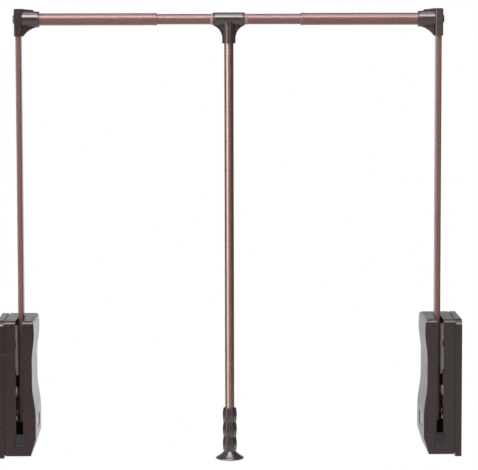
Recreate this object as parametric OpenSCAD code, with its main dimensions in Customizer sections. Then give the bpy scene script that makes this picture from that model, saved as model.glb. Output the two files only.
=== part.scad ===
// Pull down closet rod: two side cases carry spring-lifted arms, a telescopic bar and a pull handle.
// X runs from the left wall face to the right one, Y from front to back, Z up.
// The origin lies on the left wall face, on the axis about which the frame swings.
// A side case is drawn once, with X measured inwards from its wall, and mirrored for the right.

/* [Frame] */
// Distance between the two wall faces
overall_width = 838; // [740:1:900]
// Height of the bar's axis above the swing axis
bar_height = 717; // [500:1:850]
// Furthest angle that the frame swings forwards
swing_max = 106; // [96:1:110]

/* [Side case] */
// Depth of a case from front to back
case_depth = 115; // [105:1:130]
// Height of a case above the swing axis
case_above = 176; // [170:1:200]
// Depth of the cover below the swing axis
cover_below = 70; // [64:1:90]
// How far the base plate reaches below the cover
base_foot = 4; // [0:0.5:10]
// Thickness of the base plate at its rim
base_t = 11.3; // [8:0.1:14]
// Thickness of the base plate's floor
floor_t = 3; // [2:0.1:5]
// Thickness of the cover's wall
cover_wall = 2.5; // [2:0.1:3.5]
// Corner radius of a case at its front
front_corner_r = 3; // [1:0.5:6]
// Radius of the base plate's upper front corner
plate_corner_r = 9; // [3:0.5:10]
// Radius of the cover's upper front corner
cover_corner_r = 7; // [3:0.5:10]
// Corner radius of a case at its back
back_corner_r = 7; // [1:0.5:12]
// Distance from the wall to the cover's upper crest
crest_x = 66.8; // [63:0.1:75]
// Distance from the wall to the cover's waist
waist_x = 62.5; // [60:0.1:70]
// Distance from the wall to the cover's lower bulge
bulge_x = 68.6; // [67:0.1:80]
// Distance from the wall to the cover's bottom edge
toe_x = 59; // [57:0.1:66]
// Height of the crest's middle above the swing axis
crest_z = 154; // [130:1:160]
// Height at which the waist starts
waist_top_z = 102; // [85:1:110]
// Height at which the waist ends
waist_bottom_z = 62; // [45:1:75]
// Height at which the lower bulge is full
bulge_top_z = 0; // [-5:1:10]
// Height at which the lower bulge ends
bulge_bottom_z = -39; // [-50:1:-32]

/* [Case fastening] */
// Height of the tongue that locates the cover on the base plate
tongue_h = 3; // [1:0.5:6]
// Thickness of that tongue
tongue_t = 1.6; // [1:0.1:3]
// Radius of the wall screw holes
wall_hole_r = 2.5; // [1.5:0.1:3.5]
// Spacing of the wall screw holes from front to back
wall_hole_dy = 84; // [76:1:88]
// Spacing of the wall screw holes in height
wall_hole_dz = 190; // [150:1:200]
// Height of the middle of the wall screw holes
wall_hole_z = 48.5; // [40:0.5:55]
// Radius of a cover screw's shank
cover_screw_r = 1.5; // [1:0.1:2]
// Length of a cover screw
cover_screw_l = 8; // [6:0.5:10]
// Height of the lower cover screws
cover_screw_low_z = -17; // [-30:1:0]
// Height of the upper cover screws
cover_screw_high_z = 116; // [90:1:140]
// Width of the blank badge from front to back
badge_w = 42; // [30:1:60]
// Height of the blank badge
badge_h = 23; // [15:1:28]
// Depth of the badge's recess
badge_depth = 1.6; // [1.2:0.1:2]
// Thickness of the badge
badge_t = 0.5; // [0.4:0.1:0.8]

/* [Swing] */
// Radius of the pivot pin
pin_r = 5; // [4:0.1:6]
// Wall of the nylon bushes on the pin
bush_wall = 2; // [1.5:0.1:3]
// Thickness of a bush flange
flange_t = 1; // [0.5:0.1:2]
// Radius by which a flange stands out past its bush
flange_lip = 1.2; // [0.8:0.1:2]
// Radial running clearance of a bush on its shaft
running = 0.05; // [0.01:0.01:0.1]
// Thickness of the clip on the pin
clip_t = 1.2; // [0.8:0.1:2]
// Width of the slot that the arm swings in
slot_w = 12.6; // [12.2:0.1:18]
// Width of the stop block under the slot
stop_w = 19; // [17:0.5:24]
// Height of the stop block
stop_h = 23; // [16:0.5:26]
// Gap between moving and fixed pieces at a stop
stop_gap = 0.5; // [0.3:0.1:1]

/* [Arm] */
// Distance from the wall to the middle of the arm
arm_x = 39.5; // [38:0.1:41]
// Thickness of the arm's flat tube
arm_t = 10; // [8:0.1:11]
// Width of the arm's flat tube from front to back
arm_w = 25; // [20:0.5:30]
// Wall of the arm's flat tube
arm_wall = 1.5; // [1:0.1:2]
// Corner radius of the arm's flat tube
arm_corner_r = 2.2; // [1.8:0.1:4]
// Length of the arm's foot below the pivot
arm_foot = 16; // [14:0.5:20]

/* [Lift spring] */
// Gap between the gas cylinder and the arm
strut_gap = 2.5; // [2.2:0.1:4]
// Distance of the crank pin from the swing axis
crank_r = 17; // [15:0.1:17.2]
// Thickness of the crank lever
lever_t = 3; // [2:0.1:4]
// Radius of the crank pin
crank_pin_r = 2.5; // [2:0.1:3]
// Outer radius of the sleeve on the crank pin
sleeve_r = 4; // [3.5:0.1:4.2]
// Thickness of the crosshead's jaws
jaw_t = 5; // [3:0.1:5.2]
// Width of the crosshead across the spring
jaw_w = 8; // [6:0.1:9]
// Radius of the gas cylinder
cylinder_r = 8; // [6:0.1:8.4]
// Wall of the gas cylinder
cylinder_wall = 1.5; // [1:0.1:2]
// Height of the cylinder's lower end
cylinder_z = 67; // [60:1:75]
// Length of the cylinder
cylinder_l = 93; // [70:1:96]
// Radius of the piston rod
rod_r = 3; // [2:0.1:4]
// Thickness of the piston on the rod
piston_l = 8; // [4:0.5:12]
// Thickness of the shelf that carries the rod guide
shelf_t = 3; // [2:0.1:4]
// Height of the rod guide above the shelf
guide_h = 17; // [10:0.5:24]
// Radius of the rod guide
guide_r = 6.2; // [5:0.1:6.8]
// Diameter of a lever rivet
rivet_d = 5; // [3:0.1:6]
// Height of the lower lever rivet above the swing axis
rivet_low_z = 19; // [14:1:22]
// Height of the upper lever rivet above the swing axis
rivet_high_z = 33; // [28:1:40]

/* [Hanging bar] */
// Outer radius of the two outer tubes
outer_r = 11; // [10:0.1:12]
// Wall of the outer tubes
outer_wall = 1; // [0.8:0.1:1.2]
// Length of an outer tube
outer_l = 237.5; // [180:0.5:270]
// Outer radius of the inner tube
inner_r = 9.5; // [8.5:0.1:9.6]
// Wall of the inner tube
inner_wall = 1.2; // [0.8:0.1:2]
// Length of the inner tube inside each outer tube
overlap = 60; // [45:1:100]
// Length of the bush inside the end of an outer tube
end_bush_l = 20; // [10:1:40]
// Width of the bush's visible ring
end_ring_w = 5; // [3:0.5:12]
// Height by which that ring stands proud of the tube
end_ring_lip = 0.2; // [0.1:0.1:1]

/* [Corner fitting] */
// Thickness of the fitting's upright part
fitting_t = 14.5; // [13:0.1:16]
// Width of the upright part from front to back
fitting_w = 31; // [28:0.5:36]
// Height of the fitting above the bar's axis
fitting_above = 19; // [16:0.5:22]
// Height of the fitting below the bar's axis
fitting_below = 30.6; // [26:0.1:40]
// Outer radius of the socket for the tube
socket_r = 14.4; // [13:0.1:15]
// Depth of the socket for the tube
socket_l = 30.3; // [20:0.1:40]
// Thickness of the webs between the upright and the socket
fitting_web_t = 11; // [6:0.5:16]
// Height of the upper web above the socket
upper_web_h = 3; // [1:0.1:4]
// Radius of the round cap over the corner screw
cap_r = 8.3; // [7:0.1:9]
// Height by which the cap stands proud
cap_h = 3; // [1:0.1:4]
// Radius of the corner screw
corner_screw_r = 3; // [2:0.1:3.5]

/* [Tee and handle] */
// Half the length of the tee's sleeve
tee_half = 28.4; // [24:0.1:34]
// Outer radius of the tee's sleeve
tee_r = 12.1; // [11.4:0.1:14]
// Width of the rim at each end of the sleeve
tee_rim_w = 2; // [1:0.1:4]
// Height by which the rim stands proud of the sleeve
tee_rim_lip = 0.4; // [0.2:0.1:1]
// Depth of the tee's lower socket below the bar's axis
tee_drop = 43.9; // [38:0.1:55]
// Outer radius of the lower socket
tee_socket_r = 12.2; // [10.5:0.1:13]
// Thickness of the tee's webs
tee_web_t = 9; // [5:0.5:14]
// Width of the ring beside each end of the tee
tee_ring_w = 5; // [3:0.5:8]
// Thickness of that ring
tee_ring_t = 0.7; // [0.5:0.1:1.2]
// Outer radius of the handle's tube
handle_r = 8.5; // [7:0.1:9]
// Wall of the handle's tube
handle_wall = 1.2; // [0.8:0.1:2]
// Height of the grip's top above the swing axis
grip_top_z = 7; // [-40:1:40]
// Length of the grip
grip_l = 80.5; // [60:0.5:120]
// Number of lobes on the grip
lobes = 3; // [1:1:5]
// Largest radius of a lobe
lobe_r = 12.8; // [11.5:0.1:15]
// Radius of the grip between two lobes
notch_r = 11.2; // [10.5:0.1:12.5]
// Height of the flared knob
knob_h = 13.7; // [8:0.1:25]
// Radius of the knob's rim
knob_r = 26; // [18:0.5:35]
// Thickness of the knob's rim
knob_rim_t = 2.2; // [1:0.1:4]
// Length of the knob's stem inside the tube
knob_stem_l = 28; // [15:1:60]

/* [Hidden] */
$fn = 64;

// Overshoot of a cut past the face that it opens
cut = 1;
// Depth by which two forms of one piece run into each other
weld = 0.6;
// Gap of a piece that is laid into a pocket
fit = 0.2;
// Gap between a turning piece and the fixed one beside it
side_gap = 0.3;
// Gap between two pieces that pass each other
pass_gap = 2;
// Points on a curved stretch of an outline
steps = 10;

// Case
half_depth = case_depth / 2;
front_y = -half_depth;
rim_w = cover_wall + fit + tongue_t;
back_least_r = 1;
front_least_r = 0.5;
badge_edge = 2.5;
badge_z = bulge_top_z - badge_edge - badge_h / 2;
crest_draw = 1.1;
crest_corner_r = 6;
head_share = 1.8;
screw_head_r = cover_screw_r * head_share;
screw_head_h = 1.3;
screw_x = base_t + tongue_h;
lug_half = 5;
lug_wall = 2;
lug_top_x = screw_x + cover_screw_r + lug_wall;
pad_wall = 3.5;
pad_r = wall_hole_r + pad_wall;
pad_h = 2;
pad_t = floor_t + pad_h;

// Arm, pin and bushes, measured inwards from the wall
arm_out_x = arm_x - arm_t / 2;
arm_in_x = arm_x + arm_t / 2;
lever_x = arm_out_x - lever_t;
bush_r = pin_r + running + bush_wall;
bush_out_x = lever_x - flange_t;
bush_in_x = arm_in_x + flange_t;
clip_x = bush_in_x + side_gap;
groove_depth = 0.8;
clip_rim = 3;
clip_r = pin_r + clip_rim;
socket_gap = 3;
socket_depth = 10;
cover_boss_x = clip_x + clip_t + socket_gap;
cover_boss_r = pin_r + clip_rim;
pin_end_x = cover_boss_x + socket_depth;
strut_x = arm_out_x - strut_gap - cylinder_r;
pin_boss_wall = 5;
pin_neck_wall = 1.8;
pin_boss_x = strut_x - jaw_w / 2 - pass_gap;
pin_boss_r = pin_r + pin_boss_wall;
pin_neck_r = pin_r + pin_neck_wall;
pin_neck_x = bush_out_x - side_gap;

// Furthest swing: the arm's lower edge meets the stop block at the front face
past_level = swing_max - 90;
stop_z = -half_depth * tan(past_level) - arm_w / 2 / cos(past_level) - stop_gap;
slot_back_y = arm_w / 2 + stop_gap;
stop_recess = 0.8;
stop_lip = 2;
stop_back = 4;

// Crank and spring: the crank pin swings evenly about level, behind the pivot
half_swing = swing_max / 2;
crank_y = crank_r * cos(half_swing);
crank_z = -crank_r * sin(half_swing);
strut_y = (crank_y + crank_r) / 2;
sleeve_out_x = strut_x - jaw_w / 2 - side_gap;
crank_head_t = 1;
crank_head_lip = 1.5;
crank_head_r = crank_pin_r + crank_head_lip;
// The crosshead rises evenly with the angle and the crank pin along a sine, so the jaws leave room
steep = acos(sin(half_swing) / (half_swing * PI / 180));
sine_error = crank_r * (sin(steep) - steep / half_swing * sin(half_swing));
jaw_gap = sleeve_r + sine_error + side_gap;
jaw_front_y = pin_neck_r + pass_gap;
jaw_back_y = crank_r + sleeve_r + side_gap;
crosshead_back_t = 3;
crosshead_top_z = crank_z + jaw_gap + jaw_t;
// The shelf clears the crosshead at the top of its travel
shelf_z = -crank_z + jaw_gap + jaw_t + 2 * side_gap;
shelf_edge = 1.8;
shelf_half = guide_r + shelf_edge;
shelf_x = lever_x - side_gap;
shelf_rib_t = 1.4;
shelf_rib_h = 12;
guide_step = 1.4;
guide_spigot_r = guide_r - guide_step;
guide_top_z = shelf_z + shelf_t + guide_h;
cylinder_top_z = cylinder_z + cylinder_l;
gland_l = 10;
bore_r = cylinder_r - cylinder_wall;
piston_rest = 8;
piston_z = cylinder_z + gland_l + piston_rest;
clip_wall = 1.6;
lower_clip_h = 9;
upper_clip_h = 10;
upper_clip_drop = 42;
clip_lead = 1;
clip_zones = [[cylinder_z - clip_lead, cylinder_z - clip_lead + lower_clip_h],
    [cylinder_top_z - upper_clip_drop, cylinder_top_z - upper_clip_drop + upper_clip_h]];
clip_open_x = strut_x + cylinder_r / 2;
abutment_t = 7;
lever_pivot_wall = 5;
lever_end_wall = 4;
lever_pivot_r = bush_r + lever_pivot_wall;
lever_crank_r = crank_pin_r + lever_end_wall;
lever_top_r = rivet_d / 2 + lever_end_wall;
rivet_head_t = 1.2;
rivet_head_share = 0.72;
rivet_head_r = rivet_d * rivet_head_share;

// Bar and corner fitting
mid_x = overall_width / 2;
fitting_in_x = arm_x + fitting_t / 2;
fitting_out_x = arm_x - fitting_t / 2;
fitting_low_z = bar_height - fitting_below;
fitting_top_z = bar_height + fitting_above;
fitting_corner_r = 3;
fitting_top_r = 3;
socket_end_x = fitting_in_x + socket_l;
tube_start_x = fitting_in_x + fit;
tube_end_x = tube_start_x + outer_l;
outer_bore_r = outer_r - outer_wall;
plug_l = 22;
arm_entry = 12;
arm_top_z = bar_height + arm_entry;
cap_x = fitting_out_x - cap_h;
cap_step = 2.6;
cap_spigot_r = cap_r - cap_step;
cap_spigot_l = 0.8;
web_toe = 1;
web_mouth = 2;
foot_web_sag = 3.3;
ridge_back = 12;
ridge_slope = 4;
ridge_l = 4;
screw_head_t = 1.2;
screw_seat_x = fitting_out_x + cap_spigot_l + screw_head_t;
corner_head_r = cap_spigot_r - fit;
corner_screw_end_x = tube_start_x + plug_l - lever_end_wall;
inner_half = mid_x - tube_end_x + overlap;

// Tee, handle and grip
tee_bore_r = inner_r + running;
tee_floor = 3;
handle_top_z = bar_height - tee_bore_r - tee_floor;
tee_bottom_z = bar_height - tee_drop;
tee_screw_rise = 8;
tee_screw_z = tee_bottom_z + tee_screw_rise;
tee_screw_r = 2;
tee_screw_head_t = 1.6;
tee_screw_head_share = 1.9;
grip_bottom_z = grip_top_z - grip_l;
grip_end = 13;
handle_end_z = grip_bottom_z + grip_end;
handle_bore_r = handle_r - handle_wall;
lobe_l = grip_l / lobes;
mouth_draw = 0.4;
mouth_r = notch_r - mouth_draw;
tee_web_share = 0.75;
tee_web_sag = 3.6;
flat_r = mix(notch_r, lobe_r, 0.3);
knob_bottom_z = grip_bottom_z - knob_h;
neck_draw = 0.6;
knob_neck_r = notch_r - neck_draw;
knob_sag = -0.7;
knob_edge = 0.8;
knob_foot_w = 4;
knob_dish = 2;

// Colours
plastic = [0.25, 0.2, 0.19];
bronze = [0.55, 0.4, 0.35];
steel = [0.7, 0.71, 0.73];
nylon = [0.9, 0.9, 0.87];
tinted = [0.58, 0.44, 0.39];
rubber = [0.12, 0.11, 0.11];
badge_grey = [0.62, 0.61, 0.62];

function mix(a, b, t) = a + (b - a) * t;

function ease(t) = (1 - cos(180 * t)) / 2;

function arc(centre, r, from, to) =
    [for (i = [0:steps]) centre + r * [cos(mix(from, to, i / steps)), sin(mix(from, to, i / steps))]];

// A curve from p to q that bulges to its left by sag
function bow(p, q, sag) =
    let (side = [p.y - q.y, q.x - p.x] / norm(q - p))
    [for (i = [0:steps]) let (t = i / steps) mix(p, q, t) + side * sag * 4 * t * (1 - t)];

function rounded(lo, hi, r) = concat(
    arc([hi.x - r, hi.y - r], r, 0, 90),
    arc([lo.x + r, hi.y - r], r, 90, 180),
    arc([lo.x + r, lo.y + r], r, 180, 270),
    arc([hi.x - r, lo.y + r], r, 270, 360));

// A case seen from its side, in Y and Z, drawn in by inset
function side_outline(inset, bottom, upper_front_r = front_corner_r) =
    let (back = half_depth - inset, front = front_y + inset, top = case_above - inset,
        low = bottom + inset, rb = max(back_corner_r - inset, back_least_r),
        rf = max(front_corner_r - inset, front_least_r),
        ru = max(upper_front_r - inset, front_least_r))
    concat(
        arc([back - rb, top - rb], rb, 0, 90),
        arc([front + ru, top - ru], ru, 90, 180),
        arc([front + rf, low + rf], rf, 180, 270),
        arc([back - rb, low + rb], rb, 270, 360));

// The cover seen from the front, in X and Z: crest, waist, bulge and a sloping toe
function cover_outline(inset, start_x) =
    let (top = case_above - inset, corner = max(crest_corner_r - inset, back_least_r),
        top_x = crest_x - crest_draw - inset)
    concat(
        [[start_x, -cover_below + inset], [start_x, top]],
        arc([top_x - corner, top - corner], corner, 90, 0),
        [for (i = [0:steps]) [mix(crest_x, waist_x, ease(i / steps)) - inset,
            mix(crest_z, waist_top_z, i / steps)]],
        [for (i = [0:steps]) [mix(waist_x, bulge_x, ease(i / steps)) - inset,
            mix(waist_bottom_z, bulge_top_z, i / steps)]],
        [[bulge_x - inset, bulge_bottom_z], [toe_x - inset, -cover_below + inset]]);

// A solid box from its lowest to its highest corner
module block(lo, hi) {
    translate(lo) cube(hi - lo);
}

// A round bar along X at the given Y and Z
module bar_x(r, from, to, y = 0, z = 0) {
    translate([from, y, z]) rotate([0, 90, 0]) cylinder(h = to - from, r = r);
}

// A round bar along Y at the given Z
module bar_y(r, from, to, z) {
    translate([0, from, z]) rotate([-90, 0, 0]) cylinder(h = to - from, r = r);
}

// A round bar along Z at the given X and Y
module bar_z(r, from, to, x = 0, y = 0) {
    translate([x, y, from]) cylinder(h = to - from, r = r);
}

// An outline in X and Z, as thick as the given span of Y
module plate_y(points, from, to) {
    translate([0, to, 0]) rotate([90, 0, 0]) linear_extrude(to - from) polygon(points);
}

// An outline in Y and Z, as thick as the given span of X
module plate_x(points, from, to) {
    translate([from, 0, 0]) rotate([90, 0, 90]) linear_extrude(to - from) polygon(points);
}

// An outline in X and Y, as thick as the given span of Z
module plate_z(points, from, to) {
    translate([0, 0, from]) linear_extrude(to - from) polygon(points);
}

module right_side() {
    translate([overall_width, 0, 0]) mirror([1, 0, 0]) children();
}

module cover_form(inset, start_x) {
    intersection() {
        plate_y(cover_outline(inset, start_x), front_y + inset, half_depth - inset);
        plate_x(side_outline(inset, -cover_below, cover_corner_r), start_x, bulge_x);
    }
}

module cover_screw(clearance) {
    // From the case's face at y = 0 inwards along +Y
    rotate([-90, 0, 0]) cylinder(h = cover_screw_l + clearance, r = cover_screw_r + clearance);
    rotate([-90, 0, 0]) cylinder(h = screw_head_h + clearance, r1 = screw_head_r + clearance,
        r2 = cover_screw_r + clearance);
}

module each_cover_screw() {
    for (z = [cover_screw_low_z, cover_screw_high_z]) {
        translate([screw_x, front_y, z]) children();
        translate([screw_x, half_depth, z]) rotate([0, 0, 180]) children();
    }
}

module base_plate() {
    color(plastic) difference() {
        union() {
            difference() {
                union() {
                    plate_x(side_outline(0, -cover_below - base_foot, plate_corner_r), 0, base_t);
                    plate_x(side_outline(cover_wall + fit, -cover_below, cover_corner_r), floor_t,
                        base_t + tongue_h);
                }
                plate_x(side_outline(rim_w, -cover_below, cover_corner_r), floor_t,
                    base_t + tongue_h + cut);
            }
            bar_x(pin_boss_r, floor_t - weld, pin_boss_x);
            bar_x(pin_neck_r, floor_t - weld, pin_neck_x);
            for (y = [-1, 1], z = [-1, 1])
                bar_x(pad_r, floor_t - weld, pad_t, y * wall_hole_dy / 2,
                    wall_hole_z + z * wall_hole_dz / 2);
            lugs();
            shelf();
            // Abutment that takes the thrust of the gas cylinder
            block([floor_t - weld, strut_y - cylinder_r, cylinder_top_z],
                [strut_x + cylinder_r, strut_y + cylinder_r, cylinder_top_z + abutment_t]);
        }
        bar_x(pin_r, floor_t, pin_neck_x + cut);
        for (y = [-1, 1], z = [-1, 1])
            bar_x(wall_hole_r, -cut, pad_t + cut, y * wall_hole_dy / 2,
                wall_hole_z + z * wall_hole_dz / 2);
        each_cover_screw() rotate([-90, 0, 0])
            cylinder(h = cover_screw_l + 2 * fit, r = cover_screw_r);
        bar_z(guide_spigot_r, shelf_z - cut, shelf_z + shelf_t + cut, strut_x, strut_y);
    }
}

module lugs() {
    reach = half_depth - cover_wall - fit;
    for (side = [-1, 1], z = [cover_screw_low_z, cover_screw_high_z])
        translate([floor_t - weld, side * (reach - cover_screw_l / 2) - cover_screw_l / 2, z - lug_half])
            cube([lug_top_x - floor_t + weld, cover_screw_l, 2 * lug_half]);
}

module shelf() {
    block([floor_t - weld, strut_y - shelf_half, shelf_z],
        [shelf_x, strut_y + shelf_half, shelf_z + shelf_t]);
    for (y = [strut_y - shelf_half, strut_y + shelf_half - shelf_rib_t])
        block([floor_t - weld, y, shelf_z],
            [strut_x - guide_r, y + shelf_rib_t, shelf_z + shelf_t + shelf_rib_h]);
}

module cover() {
    color(plastic) difference() {
        union() {
            difference() {
                cover_form(0, base_t);
                cover_form(cover_wall, base_t - cut);
            }
            // Socket for the inner end of the pivot pin
            bar_x(cover_boss_r, cover_boss_x, bulge_x - cover_wall + weld);
        }
        bar_x(pin_r + running, cover_boss_x - cut, pin_end_x + stop_gap);
        block([arm_x - slot_w / 2, front_y - cut, stop_z],
            [arm_x + slot_w / 2, slot_back_y, case_above + cut]);
        block([arm_x - stop_w / 2, front_y - cut, stop_z - stop_h],
            [arm_x + stop_w / 2, front_y + cover_wall + cut, stop_z]);
        block([bulge_x - badge_depth, -badge_w / 2, badge_z - badge_h / 2],
            [bulge_x + cut, badge_w / 2, badge_z + badge_h / 2]);
        each_cover_screw() cover_screw(fit / 2);
    }
}

module badge_panel() {
    color(badge_grey)
        block([bulge_x - badge_depth, -badge_w / 2 + fit, badge_z - badge_h / 2 + fit],
            [bulge_x - badge_depth + badge_t, badge_w / 2 - fit, badge_z + badge_h / 2 - fit]);
}

// Block that fills the opening under the slot, held by a flange behind the wall
module stop_block() {
    half_w = stop_w / 2 - fit;
    color(rubber) union() {
        block([arm_x - half_w, front_y + stop_recess, stop_z - stop_h + fit],
            [arm_x + half_w, front_y + cover_wall + weld, stop_z - fit]);
        block([arm_x - half_w - stop_lip, front_y + cover_wall, stop_z - stop_h - stop_lip],
            [arm_x + half_w + stop_lip, front_y + cover_wall + stop_back, stop_z - fit]);
    }
}

module cover_screws() {
    color(steel) each_cover_screw() cover_screw(0);
}

module pivot_pin() {
    color(steel) difference() {
        bar_x(pin_r, floor_t, pin_end_x);
        difference() {
            bar_x(pin_r + cut, clip_x, clip_x + clip_t);
            bar_x(pin_r - groove_depth, clip_x - cut, clip_x + clip_t + cut);
        }
    }
}

module pivot_clip() {
    color(steel) difference() {
        bar_x(clip_r, clip_x, clip_x + clip_t);
        bar_x(pin_r - groove_depth, clip_x - cut, clip_x + clip_t + cut);
    }
}

// Two flanged bushes that meet in the middle of the lever and arm
module pivot_bushes() {
    split_x = (lever_x + arm_in_x) / 2;
    color(nylon) difference() {
        union() {
            bar_x(bush_r, bush_out_x, split_x);
            bar_x(bush_r + flange_lip, bush_out_x, lever_x);
        }
        bar_x(pin_r + running, bush_out_x - cut, split_x + cut);
    }
    color(nylon) difference() {
        union() {
            bar_x(bush_r, split_x, bush_in_x);
            bar_x(bush_r + flange_lip, arm_in_x, bush_in_x);
        }
        bar_x(pin_r + running, split_x - cut, bush_in_x + cut);
    }
}

module gas_cylinder() {
    color(steel) difference() {
        bar_z(cylinder_r, cylinder_z, cylinder_top_z, strut_x, strut_y);
        bar_z(bore_r, cylinder_z - cut, cylinder_top_z - 2 * cylinder_wall, strut_x, strut_y);
    }
}

// Two open clips that hold the cylinder to the base plate
module cylinder_clips() {
    color(plastic) for (zone = clip_zones)
        difference() {
            union() {
                bar_z(cylinder_r + clip_wall, zone[0], zone[1], strut_x, strut_y);
                block([floor_t, strut_y - cylinder_r + clip_wall, zone[0]],
                    [strut_x, strut_y + cylinder_r - clip_wall, zone[1]]);
            }
            bar_z(cylinder_r, zone[0] - cut, zone[1] + cut, strut_x, strut_y);
            block([clip_open_x, strut_y - 2 * cylinder_r, zone[0] - cut],
                [strut_x + 2 * cylinder_r, strut_y + 2 * cylinder_r, zone[1] + cut]);
        }
}

module cylinder_gland() {
    color(rubber) difference() {
        bar_z(bore_r, cylinder_z, cylinder_z + gland_l, strut_x, strut_y);
        bar_z(rod_r + running, cylinder_z - cut, cylinder_z + gland_l + cut, strut_x, strut_y);
    }
}

module piston_rod() {
    color(steel) union() {
        bar_z(rod_r, crank_z + jaw_gap, piston_z + weld, strut_x, strut_y);
        bar_z(bore_r - running, piston_z, piston_z + piston_l, strut_x, strut_y);
    }
}

// Fork, open to the front, whose jaws the crank pin's sleeve lifts
module crosshead() {
    color(steel) difference() {
        block([strut_x - jaw_w / 2, jaw_front_y, crank_z - jaw_gap - jaw_t],
            [strut_x + jaw_w / 2, jaw_back_y + crosshead_back_t, crosshead_top_z]);
        block([strut_x - jaw_w, jaw_front_y - cut, crank_z - jaw_gap],
            [strut_x + jaw_w, jaw_back_y, crank_z + jaw_gap]);
        bar_z(rod_r, crank_z + jaw_gap - cut, crosshead_top_z + cut, strut_x, strut_y);
    }
}

module rod_guide() {
    color(nylon) difference() {
        union() {
            bar_z(guide_r, shelf_z + shelf_t, guide_top_z, strut_x, strut_y);
            bar_z(guide_spigot_r, shelf_z, shelf_z + shelf_t + weld, strut_x, strut_y);
        }
        bar_z(rod_r + running, shelf_z - cut, guide_top_z + cut, strut_x, strut_y);
    }
}

module arm_section(inset, from, to) {
    plate_z(rounded([arm_out_x + inset, -arm_w / 2 + inset], [arm_in_x - inset, arm_w / 2 - inset],
        max(arm_corner_r - inset, 0.8)), from, to);
}

module arm_tube() {
    color(bronze) difference() {
        arm_section(0, -arm_foot, arm_top_z);
        arm_section(arm_wall, -arm_foot - cut, arm_top_z + cut);
        bar_x(bush_r, arm_out_x - cut, arm_in_x + cut);
        for (z = [rivet_low_z, rivet_high_z])
            bar_x(rivet_d / 2, arm_out_x - cut, arm_in_x + cut, 0, z);
        bar_x(corner_screw_r, arm_out_x - cut, arm_in_x + cut, 0, bar_height);
    }
}

module crank_lever() {
    color(steel) difference() {
        union() {
            hull() {
                bar_x(lever_pivot_r, lever_x, arm_out_x);
                bar_x(lever_top_r, lever_x, arm_out_x, 0, rivet_high_z);
            }
            hull() {
                bar_x(lever_pivot_r, lever_x, arm_out_x);
                bar_x(lever_crank_r, lever_x, arm_out_x, crank_y, crank_z);
            }
        }
        bar_x(bush_r, lever_x - cut, arm_out_x + cut);
        bar_x(crank_pin_r, lever_x - cut, arm_out_x + cut, crank_y, crank_z);
        for (z = [rivet_low_z, rivet_high_z])
            bar_x(rivet_d / 2, lever_x - cut, arm_out_x + cut, 0, z);
    }
}

module crank_pin() {
    color(steel) union() {
        bar_x(crank_pin_r, sleeve_out_x - weld, arm_out_x, crank_y, crank_z);
        bar_x(crank_head_r, sleeve_out_x - crank_head_t, sleeve_out_x, crank_y, crank_z);
    }
}

module crank_sleeve() {
    color(nylon) difference() {
        bar_x(sleeve_r, sleeve_out_x, lever_x, crank_y, crank_z);
        bar_x(crank_pin_r, sleeve_out_x - cut, lever_x + cut, crank_y, crank_z);
    }
}

module lever_rivets() {
    color(steel) for (z = [rivet_low_z, rivet_high_z]) union() {
        bar_x(rivet_d / 2, lever_x - weld, arm_in_x + weld, 0, z);
        bar_x(rivet_head_r, lever_x - rivet_head_t, lever_x, 0, z);
        bar_x(rivet_head_r, arm_in_x, arm_in_x + rivet_head_t, 0, z);
    }
}

// The upright seen from the front, with its upper outer corner rounded
function upright_outline() = concat(
    [[fitting_out_x, fitting_low_z], [fitting_in_x, fitting_low_z], [fitting_in_x, fitting_top_z]],
    arc([fitting_out_x + fitting_top_r, fitting_top_z - fitting_top_r], fitting_top_r, 90, 180));

// Curved web under the socket
function foot_web() = concat(
    [[arm_x, fitting_low_z], [fitting_in_x, fitting_low_z]],
    bow([fitting_in_x + web_toe, fitting_low_z],
        [socket_end_x - web_mouth, bar_height - socket_r + web_toe], foot_web_sag),
    [[socket_end_x - web_mouth, bar_height], [arm_x, bar_height]]);

// Web that slopes from the top of the upright to the socket
function peak_web() =
    let (ridge_z = bar_height + socket_r + upper_web_h, ridge_x = socket_end_x - ridge_back)
    [[arm_x, bar_height], [ridge_x + ridge_slope, bar_height],
        [ridge_x + ridge_slope, bar_height + socket_r - web_toe], [ridge_x, ridge_z],
        [ridge_x - ridge_l, ridge_z], [fitting_in_x + web_toe, fitting_top_z],
        [arm_x, fitting_top_z]];

module corner_fitting() {
    color(plastic) difference() {
        union() {
            intersection() {
                plate_z(rounded([fitting_out_x, -fitting_w / 2], [fitting_in_x, fitting_w / 2],
                    fitting_corner_r), fitting_low_z, fitting_top_z);
                plate_y(upright_outline(), -fitting_w / 2, fitting_w / 2);
            }
            bar_x(socket_r, arm_x, socket_end_x, 0, bar_height);
            plate_y(foot_web(), -fitting_web_t / 2, fitting_web_t / 2);
            plate_y(peak_web(), -fitting_web_t / 2, fitting_web_t / 2);
        }
        arm_section(0, fitting_low_z - cut, arm_top_z);
        bar_x(outer_r, tube_start_x, socket_end_x + cut, 0, bar_height);
        bar_x(corner_screw_r, fitting_out_x - cut, tube_start_x + cut, 0, bar_height);
        bar_x(cap_spigot_r, fitting_out_x - cut, screw_seat_x, 0, bar_height);
    }
}

module corner_cap() {
    color(plastic) union() {
        bar_x(cap_r, cap_x, fitting_out_x, 0, bar_height);
        bar_x(cap_spigot_r, fitting_out_x - weld, fitting_out_x + cap_spigot_l, 0, bar_height);
    }
}

module corner_screw() {
    color(steel) union() {
        bar_x(corner_screw_r, screw_seat_x - weld, corner_screw_end_x, 0, bar_height);
        bar_x(corner_head_r, fitting_out_x + cap_spigot_l, screw_seat_x, 0, bar_height);
    }
}

module outer_tube() {
    color(bronze) difference() {
        bar_x(outer_r, tube_start_x, tube_end_x, 0, bar_height);
        bar_x(outer_bore_r, tube_start_x - cut, tube_end_x + cut, 0, bar_height);
    }
}

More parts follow.
